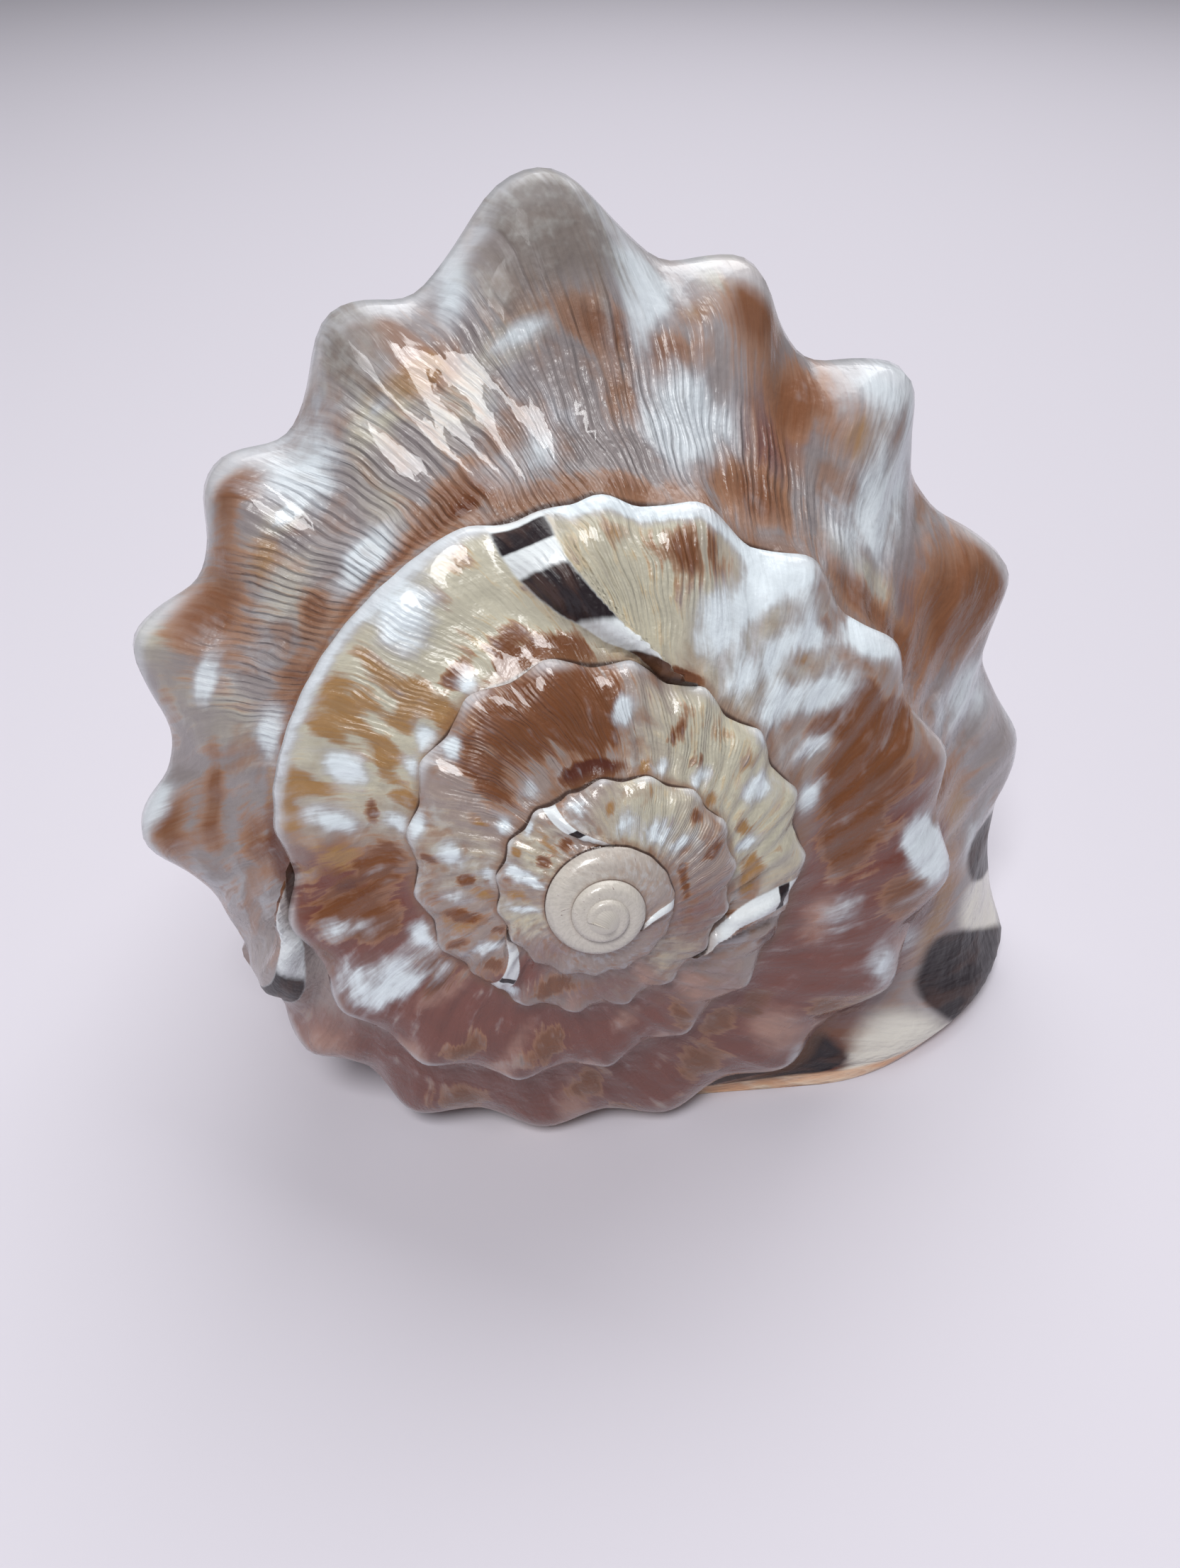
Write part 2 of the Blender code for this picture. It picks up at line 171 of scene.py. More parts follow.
def varix(turn, slope, radius):
    """Old lips: each is a roll that falls quickly on its newer side."""
    total = 0.0
    for middle, height, trail in VARICES:
        past = past_lip(turn, slope, middle, trail)
        roll = smooth(past, *ROLL_RISE) * (1 - smooth(past, *ROLL_FALL))
        for depth, groove, width in ROLL_GROOVES:
            roll = roll - depth * hill(past, groove, width)
        total = total + height * roll
    return VARIX_HEIGHT * radius * total


# The outer lip flares from the first turn here to the second, and dies away between the last two.
LIP_FLARE = 0.0045
LIP_EDGE = (-0.050, 0.010, 0.070, 0.130)


def lip_flare(turn):
    start, full, fade, end = LIP_EDGE
    return LIP_FLARE * smooth(turn, start, full) * (1 - smooth(turn, fade, end))


# The coil's axis runs from the tip towards the canal, sinks a little and swings to the left.
APEX = (-0.0027, -0.0609, 0.0455)
AXIS_FALL = math.radians(15.6)
AXIS_TURN = math.radians(8.5)
LIP_AZIMUTH = math.radians(35.0)


def shell_axes():
    fall, swing = AXIS_FALL, AXIS_TURN
    axis = np.array([-math.sin(swing) * math.cos(fall), math.cos(swing) * math.cos(fall), -math.sin(fall)])
    right = np.array([1.0, 0.0, 0.0]) - axis[0] * axis
    right /= np.linalg.norm(right)
    return axis, right, np.cross(axis, right)


def place(turn, radius, depth):
    axis, right, down = shell_axes()
    azimuth = TAU * turn + LIP_AZIMUTH
    around = np.cos(azimuth)[..., None] * right + np.sin(azimuth)[..., None] * down
    return np.array(APEX) + radius[..., None] * around + depth[..., None] * axis


def plan(points):
    """Seen from above: how far each point lies across the coil's axis, and along it from the tip."""
    x, y = points[..., 0] - APEX[0], points[..., 1] - APEX[1]
    along = -math.sin(AXIS_TURN) * x + math.cos(AXIS_TURN) * y
    across = math.cos(AXIS_TURN) * x + math.sin(AXIS_TURN) * y
    return across, along


# The mouth lies along the underside, in a shallow dish. The rest of the underside is flat where it touches.
MOUTH_START, MOUTH_END = 0.0350, 0.1400
MOUTH_OFFSETS = (0.0215, 0.0020)
MOUTH_BEND = 0.003
DISH = 0.0030
DISH_WIDTH = 0.0180
DISH_STARTS = (MOUTH_START - 0.002, MOUTH_START + 0.012)
DISH_ENDS = (0.112, 0.125)
BEAD = 0.0028
BEAD_RISE, BEAD_WIDTH = 0.0045, 0.0035
BEAD_TURNS = (-0.15, -0.06)
BEAD_FADE = (0.075, 0.100)
RIM_ROUND = 0.0055
LEAST_DOWNWARD = 1e-3


def mouth_middle(along):
    share = np.clip((along - MOUTH_START) / (MOUTH_END - MOUTH_START), 0.0, 1.0)
    bend = MOUTH_BEND * np.sin(TAU * share)
    return MOUTH_OFFSETS[0] + (MOUTH_OFFSETS[1] - MOUTH_OFFSETS[0]) * share + bend


def dish(points):
    across, along = plan(points)
    beside = np.clip(1 - (np.abs(across - mouth_middle(along)) / DISH_WIDTH) ** 2, 0.0, 1.0)
    ends = smooth(along, *DISH_STARTS) * (1 - smooth(along, *DISH_ENDS))
    return DISH * beside * ends


def downward_share(turn):
    _, right, down = shell_axes()
    azimuth = TAU * turn + LIP_AZIMUTH
    return np.maximum(-np.cos(azimuth) * right[2] - np.sin(azimuth) * down[2], LEAST_DOWNWARD)


def resting(turn, radius, depth, lift):
    """The radius, cut short where it would go through the floor, with a rounded rim and a bead at the lip."""
    axis, _, _ = shell_axes()
    downward = downward_share(turn)
    above = APEX[2] + depth * axis[2] + lift
    touching = place(turn, np.clip(above / downward, 0, 1), depth)
    limit = (above - dish(touching)) / downward
    bead = hill((limit - radius) * downward, BEAD_RISE, BEAD_WIDTH) * smooth(turn, *BEAD_TURNS)
    radius = radius + BEAD * bead * (1 - smooth(depth, *BEAD_FADE))
    rim = RIM_ROUND / downward
    near = np.clip(1 - np.abs(limit - radius) / rim, 0.0, None)
    return np.minimum(radius, limit) - rim * near**2 / 4


# The body of the last whorl narrows to the canal. It has two rows of small knobs. On the underside, the
# shield thickens its older part beside the mouth.
CANAL_DEPTH = 0.1270
CANAL_RADIUS = 0.095
BODY_TAPER = 1.65
KNOB_FADE = 0.09
# Rows of small knobs: share of the way down the body, height
BODY_ROWS = ((0.25, 0.0020), (0.46, 0.0013))
ROW_KNOB_WIDTH, ROW_RIDGE_WIDTH = 0.050, 0.030
ROW_RIDGE = 0.3
ROW_HORN = 0.005
OLD_LIP_FADE = (0.5, 0.9)
FLARE_FADE = (0.55, 1.0)
SHIELD = 0.0050
SHIELD_BACK = (-0.95, -0.90)
SHIELD_EDGE = (-0.735, -0.715)
SHIELD_TOP = (0.02, 0.10)
SHIELD_FOOT = (0.78, 0.95)


def body_radius(turn, share):
    radius, _ = keel(turn)
    return radius * (SUTURE_RADIUS - (SUTURE_RADIUS - CANAL_RADIUS) * share**BODY_TAPER)


def last_whorl(turn, share):
    start_radius, start_depth = lower_suture(turn)
    radius = body_radius(turn, share) + SUTURE_KNOB * knob_height(turn) * np.exp(-share / KNOB_FADE)
    for row, height in BODY_ROWS:
        small = height * np.clip(knob_height(turn) / ROW_HORN, 0.0, 1.5)
        ridge = ROW_RIDGE * height * hill(share, row, ROW_RIDGE_WIDTH)
        radius = radius + small * hill(share, row, ROW_KNOB_WIDTH) + ridge
    radius = radius + varix(turn, 1.0, start_radius) * (1 - smooth(share, *OLD_LIP_FADE))
    flare = lip_flare(turn) * (1 - smooth(share, *FLARE_FADE))
    callus = SHIELD * smooth(turn, *SHIELD_BACK) * (1 - smooth(turn, *SHIELD_EDGE))
    callus = callus * smooth(share, *SHIELD_TOP) * (1 - smooth(share, *SHIELD_FOOT))
    return radius + flare + callus, start_depth + share * (CANAL_DEPTH - start_depth)


# The strip itself. Past the lip it closes onto the whorl before it, and it ends at the closing turn.
CLOSING_TURN = 0.17
CLOSING_START = 0.07
CANAL_LIFT = 0.0190
CANAL_LIFT_SHARES = (0.70, 1.0)
WHORL_ARCH = 0.055
WHORL_BEND = 0.03
NUCLEUS_ARCH = 0.16
NUCLEUS_TURNS = (-5.0, -3.6)
# Shares of a rise that go outwards and up, for the slope's arch and for its knobs
ARCH_OUT, ARCH_UP = 0.45, 0.89
KNOB_OUT, KNOB_UP = 0.97, 0.25


def shell_points(turn, across):
    turn, across = np.broadcast_arrays(turn, across)
    inner_radius, inner_depth = lower_suture(turn - 1)
    inner_knob = SUTURE_KNOB * knob_height(turn - 1)
    outer_radius, outer_depth = keel(turn)
    knob = knob_height(turn)
    under_radius, under_depth = lower_suture(turn)
    slope = np.clip(across, 0.0, 1.0)
    under = np.clip(across - 1, 0.0, 1.0)
    body = np.clip(across - 2, 0.0, 1.0)

    base_radius = (inner_radius - inner_knob) * (1 - slope) + outer_radius * slope
    base_depth = inner_depth * (1 - slope) + outer_depth * slope
    width = outer_radius - inner_radius
    round_whorl = WHORL_ARCH + NUCLEUS_ARCH * (1 - smooth(turn, *NUCLEUS_TURNS))
    arch = round_whorl * width * np.sin(math.pi * slope) - WHORL_BEND * width * np.sin(TAU * slope)
    ridge = varix(turn, slope, outer_radius) * np.sin(math.pi * slope**0.6) ** 0.4
    rise = arch + ridge
    stand = knob * smooth(slope, 0.40, 1.0) ** 1.2
    flare = lip_flare(turn) * smooth(slope, 0.3, 1.0)
    slope_radius = base_radius + inner_knob * (1 - smooth(slope, 0.0, 0.25))
    slope_radius = slope_radius + ARCH_OUT * rise + KNOB_OUT * stand + flare
    slope_depth = base_depth - ARCH_UP * rise - KNOB_UP * stand * (1 - smooth(slope, 0.97, 1.0))

    edge_radius = outer_radius + KNOB_OUT * knob + flare
    turned_in = 1 - np.cos(0.5 * math.pi * under)
    under_radius_here = edge_radius + (under_radius + flare - edge_radius) * turned_in
    under_depth_here = outer_depth + (under_depth - outer_depth) * np.sin(0.5 * math.pi * under)

    lower_radius, lower_depth = last_whorl(turn, body)
    radius = np.where(across <= 1, slope_radius, np.where(across <= 2, under_radius_here, lower_radius))
    depth = np.where(across <= 1, slope_depth, np.where(across <= 2, under_depth_here, lower_depth))

    ending = smooth(turn, CLOSING_START, CLOSING_TURN)
    old_radius, old_depth = last_whorl(turn - 1, body)
    radius = radius + (np.where(across <= 2, inner_radius, old_radius) - radius) * ending
    depth = depth + (np.where(across <= 2, inner_depth, old_depth) - depth) * ending
    lift = CANAL_LIFT * smooth(body, *CANAL_LIFT_SHARES) ** 1.5
    points = place(turn, resting(turn, radius, depth, lift), depth)
    points[..., 2] += lift
    return points


# The mesh: rows to a turn, and columns over the slope, under the keel and down the body
FIRST_TURN = -6.6
STEPS = 288
SLOPE_COLUMNS = 28
UNDER_COLUMNS = 3
BODY_COLUMNS = 66
TIP_DEPTH = -0.0006


def shell_mesh():
    """The outside as one closed mesh, sewn along the suture, with turn and across kept in its UV map."""
    rows = round((CLOSING_TURN - FIRST_TURN) * STEPS)
    turns = CLOSING_TURN - (rows - np.arange(rows + 1)) / STEPS
    across = np.concatenate([
        np.linspace(0, 1, SLOPE_COLUMNS + 1),
        1 + np.linspace(0, 1, UNDER_COLUMNS + 1)[1:],
        2 + np.linspace(0, 1, BODY_COLUMNS + 1)[1:],
    ])
    seam = SLOPE_COLUMNS + UNDER_COLUMNS
    points = shell_points(turns[:, None], across[None, :])
    index = np.full(points.shape[:2], -1)
    places = []
    for row in range(rows):
        last = len(across) if row >= rows - STEPS else seam + 1
        first = 1 if row >= STEPS else 0
        index[row, first:last] = len(places) + np.arange(last - first)
        places.extend(points[row, first:last])
    for row in range(STEPS, rows):
        index[row, 0] = index[row - STEPS, seam]
    index[rows] = index[rows - STEPS]
    index[rows, :seam] = index[rows - STEPS, seam]

    faces, coils = [], []

    def face(corners):
        kept = [c for i, c in enumerate(corners) if c[0] != corners[i - 1][0]]
        if len(kept) > 2:
            faces.append([c[0] for c in kept])
            coils.extend((c[1], c[2]) for c in kept)

    for row in range(rows):
        columns = len(across) - 1 if row >= rows - STEPS else seam
        for column in range(columns):
            face([
                (index[row, column], turns[row], across[column]),
                (index[row, column + 1], turns[row], across[column + 1]),
                (index[row + 1, column + 1], turns[row + 1], across[column + 1]),
                (index[row + 1, column], turns[row + 1], across[column]),
            ])

    def cap(ring, top):
        for first, second in zip(ring, ring[1:] + ring[:1]):
            face([first, second, top])

    start = [(index[row, 0], turns[row], 0.0) for row in range(STEPS + 1)]
    start += [(index[0, column], turns[0], across[column]) for column in range(seam - 1, 0, -1)]
    places.append(place(np.array(0.0), np.array(0.0), np.array(TIP_DEPTH)))
    cap(start, (len(places) - 1, FIRST_TURN, 0.0))
    canal = [(index[row, -1], turns[row], 3.0) for row in range(rows - STEPS, rows)]
    places.append(np.mean([places[c[0]] for c in canal], axis=0))
    cap(canal[::-1], (len(places) - 1, -0.5, 3.0))

    data = bpy.data.meshes.new("helmet_shell_look")
    data.from_pydata(np.array(places).tolist(), [], faces)
    coil = data.uv_layers.new(name="coil")
    coil.data.foreach_set("uv", np.array(coils, np.float32).ravel())
    return data


# The mouth slit and the hollow behind it, cut out of the strip. The teeth set in and die away over the two
# toothed stretches, and the pillar is the least radius of the solid core.
MOUTH_HALF_WIDTH = 0.0062
MOUTH_HEIGHT = 0.0120
MOUTH_TEETH = 11
TOOTH = 0.0014
INNER_TOOTH = 0.7
TOOTHED = ((0.05, 0.2), (0.70, 0.80))
BELOW_FLOOR = -0.004
WALL = 0.0042
PILLAR = 0.007
CAVITY_TURNS = (-0.50, 0.085)
CAVITY_SPAN = (0.10, 0.74)
CAVITY_FLOOR = 0.0050
CAVITY_LEAST, CAVITY_HALF = 0.0015, 0.0037
CAVITY_RINGS, CAVITY_POINTS = 27, 15


def link(name, data):
    obj = bpy.data.objects.new(name, data)
    bpy.context.scene.collection.objects.link(obj)
    return obj


def skin_rings(name, rings):
    mesh = bmesh.new()
    rings = [[mesh.verts.new(point) for point in ring] for ring in rings]
    for one, two in zip(rings, rings[1:]):
        for corners in zip(one, one[1:] + one[:1], two[1:] + two[:1], two):
            mesh.faces.new(corners)
    mesh.faces.new(rings[0])
    mesh.faces.new(rings[-1])
    bmesh.ops.recalc_face_normals(mesh, faces=mesh.faces)
    data = bpy.data.meshes.new(name)
    mesh.to_mesh(data)
    mesh.free()
    return link(name, data)


def mouth_cutter():
    cos, sin = math.cos(AXIS_TURN), math.sin(AXIS_TURN)
    rings = []
    for share in np.linspace(0, 1, 12 * MOUTH_TEETH + 1):
        along = MOUTH_START + (MOUTH_END - MOUTH_START) * share
        half = MOUTH_HALF_WIDTH * (0.35 + 0.65 * math.sin(math.pi * min(1.0, share * 1.1)) ** 0.6)
        tooth = TOOTH * max(0.0, math.cos(TAU * MOUTH_TEETH * share))
        tooth = tooth * smooth(share, *TOOTHED[0]) * smooth(-share, -TOOTHED[1][1], -TOOTHED[1][0])
        top = MOUTH_HEIGHT * smooth(share, -0.15, 0.15) + CANAL_LIFT * 0.8 * smooth(share, 0.72, 0.95)
        middle = mouth_middle(along)
        rings.append([
            (APEX[0] + cos * across - sin * along, APEX[1] + sin * across + cos * along, height)
            for across, height in (
                (middle - half + INNER_TOOTH * tooth, BELOW_FLOOR),
                (middle + half - tooth, BELOW_FLOOR),
                (middle + half - tooth, top - 0.003),
                (middle + 0.5 * half, top),
                (middle - 0.5 * half, top),
                (middle - half + INNER_TOOTH * tooth, top - 0.003),
            )
        ])
    return skin_rings("mouth_cutter", rings)


def cavity_cutter():
    """The hollow follows the last whorl, between its wall and the older whorl, and closes half a turn in."""
    axis, _, _ = shell_axes()
    share = np.linspace(*CAVITY_SPAN, CAVITY_POINTS)
    rings = []
    for turn in np.linspace(*CAVITY_TURNS, CAVITY_RINGS):
        inwards = (turn - CAVITY_TURNS[1]) / (CAVITY_TURNS[0] - CAVITY_TURNS[1])
        closing = math.sqrt(max(0.0, 1 - inwards**4))
        _, start_depth = lower_suture(turn)
        depth = start_depth + share * (CANAL_DEPTH - start_depth)
        floor = (APEX[2] + depth * axis[2] - CAVITY_FLOOR) / downward_share(turn)
        outer = np.minimum(body_radius(turn, share) - WALL, floor)
        _, old_depth = lower_suture(turn - 1)
        old_share = np.clip((depth - old_depth) / (CANAL_DEPTH - old_depth), 0.0, 1.0)
        inner = np.maximum(body_radius(turn - 1, old_share) + WALL, PILLAR)
        inner = inner * (1 - 0.4 * smooth(turn, -0.03, 0.06))
        inner = np.minimum(inner, outer - 0.003)
        half = np.clip((outer - inner) / 2, CAVITY_LEAST, CAVITY_HALF)
        middle = outer - half
        half = half * (0.15 + 0.85 * closing)
        ends = np.sin(math.pi * np.linspace(0.04, 0.96, len(share))) ** 0.35
        radius = np.concatenate([middle + half * ends, (middle - half * ends)[::-1]])
        depth = np.concatenate([depth, depth[::-1]])
        rings.append([tuple(p) for p in place(np.full(len(radius), turn), radius, depth)])
    return skin_rings("cavity_cutter", rings)


def volume(data):
    data.calc_loop_triangles()
    points = np.empty(len(data.vertices) * 3)
    data.vertices.foreach_get("co", points)
    corners = np.empty(len(data.loop_triangles) * 3, int)
    data.loop_triangles.foreach_get("vertices", corners)
    return np.linalg.det(points.reshape(-1, 3)[corners.reshape(-1, 3)]).sum() / 6


shell = link("shell_skin", shell_mesh())
if volume(shell.data) < 0:
    shell.data.flip_normals()
for cutter, solver in ((mouth_cutter(), "EXACT"), (cavity_cutter(), "MANIFOLD")):
    cut = shell.modifiers.new(cutter.name, "BOOLEAN")
    cut.operation = "DIFFERENCE"
    cut.solver = solver
    cut.object = cutter


def apply_modifiers(obj):
    bpy.context.view_layer.update()
    data = bpy.data.meshes.new_from_object(obj.evaluated_get(bpy.context.evaluated_depsgraph_get()))
    obj.modifiers.clear()
    obj.data = data
    return data


data = apply_modifiers(shell)
for name in ("mouth_cutter", "cavity_cutter"):
    bpy.data.objects.remove(bpy.data.objects[name])


# Growth folds. Each spell of growth leaves a low fold across the slope and down the body. They are even on
# the middle whorls, lower on the last two, and gone at the tip. A node tree raises them from each point's
# place on the coil.
class Socket:
    """A node's output that takes part in plain sums. node() adds any other node to the tree in hand."""

    tree = None

    def __init__(self, socket):
        self.socket = socket

    @classmethod
    def node(cls, kind, settings=None, inputs=None, output=0):
        node = cls.tree.nodes.new(kind)
        for name, value in (settings or {}).items():
            setattr(node, name, value)
        for name, value in (inputs or {}).items():
            if isinstance(value, Socket):
                cls.tree.links.new(value.socket, node.inputs[name])
            else:
                node.inputs[name].default_value = value
        return cls(node.outputs[output])

    def math(self, operation, *others):
        values = dict(enumerate((self, *others)))
        return self.node("ShaderNodeMath", {"operation": operation}, values)

    def __add__(self, other):
        return self.math("ADD", other)

    def __radd__(self, other):
        return self.math("ADD", other)

    def __sub__(self, other):
        return self.math("SUBTRACT", other)

    def __rsub__(self, other):
        return self.node("ShaderNodeMath", {"operation": "SUBTRACT"}, {0: other, 1: self})

    def __mul__(self, other):
        return self.math("MULTIPLY", other)

    def __rmul__(self, other):
        return self.math("MULTIPLY", other)

    def __truediv__(self, other):
        return self.math("DIVIDE", other)


FOLD_PITCH = 0.0190
FOLD_HEIGHT = 0.013
FOLD_UNEVENNESS = 5.0
FOLD_SEED = 4.0
WOBBLE_ALONG, WOBBLE_ACROSS = 22.0, 2.2
GROWTH_SLANT = 0.045
BODY_FOLDS = 0.6


def corner_values(data):
    """Vertex, turn and across of every corner, and which corners lie on faces that the cutters left."""
    coil = np.empty(len(data.loops) * 2, np.float32)
    data.uv_layers["coil"].data.foreach_get("uv", coil)
    turn, across = coil.reshape(-1, 2).astype(float).T
    vertex = np.empty(len(data.loops), int)
    data.loops.foreach_get("vertex_index", vertex)
    sides = np.array([p.loop_total for p in data.polygons])
    starts = np.cumsum(sides) - sides
    placed = np.maximum.reduceat(np.abs(turn) + np.abs(across), starts) > 1e-6
    return vertex, turn, across, np.repeat(~placed, sides)


def vertex_places(data):
    points = np.empty(len(data.vertices) * 3)
    data.vertices.foreach_get("co", points)
    return points.reshape(-1, 3)


def store(data, name, values, kind="FLOAT", domain="CORNER"):
    """Keeps a value for each corner or vertex, for the surface's own nodes to read."""
    layer = data.attributes.new(name, kind, domain)
    field = "vector" if kind == "FLOAT_VECTOR" else "value"
    layer.data.foreach_set(field, np.ascontiguousarray(values, np.float32).ravel())


def fold_tree(material):
    tree = bpy.data.node_groups.new("growth_folds", "GeometryNodeTree")
    tree.is_modifier = True
    for name, kind, value in (
        ("Shell", "NodeSocketGeometry", None),
        ("Pitch", "NodeSocketFloat", FOLD_PITCH),
        ("Height", "NodeSocketFloat", FOLD_HEIGHT),
        ("Unevenness", "NodeSocketFloat", FOLD_UNEVENNESS),
        ("Seed", "NodeSocketFloat", FOLD_SEED),
        ("Finish", "NodeSocketMaterial", material),
    ):
        socket = tree.interface.new_socket(name, in_out="INPUT", socket_type=kind)
        if value is not None:
            socket.default_value = value
    tree.interface.new_socket("Shell", in_out="OUTPUT", socket_type="NodeSocketGeometry")
    Socket.tree = tree
    entry = tree.nodes.new("NodeGroupInput")
    given = {socket.name: Socket(socket) for socket in entry.outputs if socket.name}
    stage, out, room = (
        Socket.node("GeometryNodeInputNamedAttribute", {"data_type": "FLOAT"}, {"Name": name}, "Attribute")
        for name in ("fold_stage", "fold_out", "fold_room")
    )
    spot = Socket.node(
        "ShaderNodeCombineXYZ", {}, {0: stage * WOBBLE_ALONG, 1: out * WOBBLE_ACROSS, 2: 0.0}
    )
    wobble = Socket.node(
        "ShaderNodeTexNoise",
        {"noise_dimensions": "4D"},
        {"Vector": spot, "W": given["Seed"], "Scale": 1.0, "Detail": 2.0},
    ) - 0.5
    phase = stage * TAU / given["Pitch"] + wobble * given["Unevenness"]
    rise = (phase.math("SINE") + wobble * 2.0) * room * given["Height"]
    normal = Socket.node("GeometryNodeInputNormal")
    offset = Socket.node("ShaderNodeVectorMath", {"operation": "SCALE"}, {0: normal, "Scale": rise})
    moved = Socket.node("GeometryNodeSetPosition", {}, {"Geometry": given["Shell"], "Offset": offset})
    real = Socket.node("GeometryNodeRealizeInstances", {}, {"Geometry": moved})
    finished = Socket.node("GeometryNodeSetMaterial", {}, {"Geometry": real, "Material": given["Finish"]})
    tree.links.new(finished.socket, tree.nodes.new("NodeGroupOutput").inputs["Shell"])
    return tree


# Room for the folds is nought along the suture, at the tip, at the lip's edge, inside and near the floor.
corner_vertex, turn, across, inside = corner_values(data)
slope = np.clip(across, 0, 1)
body = np.clip(across - 2, 0, 1)
room = smooth(slope, 0.02, 0.25) * (1 - 0.7 * smooth(slope, 0.8, 1.0)) * (1 - smooth(across, 1.0, 1.05))
room += BODY_FOLDS * smooth(across, 2.02, 2.20) * (1 - smooth(across, 2.75, 2.95))
lower_on_newer = 0.62 - 0.34 * smooth(turn, -2.0, -1.75)
room *= smooth(turn, -4.4, -3.2) * lower_on_newer * (1 - smooth(turn, -0.06, -0.02))
heights = vertex_places(data)[corner_vertex, 2]
room *= smooth(heights, 0.004, 0.012) * ~inside * LIP_RADIUS * GROWTH**turn
fold_room = np.full(len(data.vertices), 9.0)
np.minimum.at(fold_room, corner_vertex, room)
fold_stage = np.zeros(len(data.vertices))
fold_stage[corner_vertex] = turn + GROWTH_SLANT * slope
fold_out = np.zeros(len(data.vertices))
fold_out[corner_vertex] = slope + 3 * body
store(data, "fold_room", fold_room, domain="POINT")
store(data, "fold_stage", fold_stage, domain="POINT")
store(data, "fold_out", fold_out, domain="POINT")
material = bpy.data.materials.new("glossy_shell_look")
folding = shell.modifiers.new("growth_folds", "NODES")
folding.node_group = fold_tree(material)
data = apply_modifiers(shell)
for name in ("fold_room", "fold_stage", "fold_out"):
    data.attributes.remove(data.attributes[name])

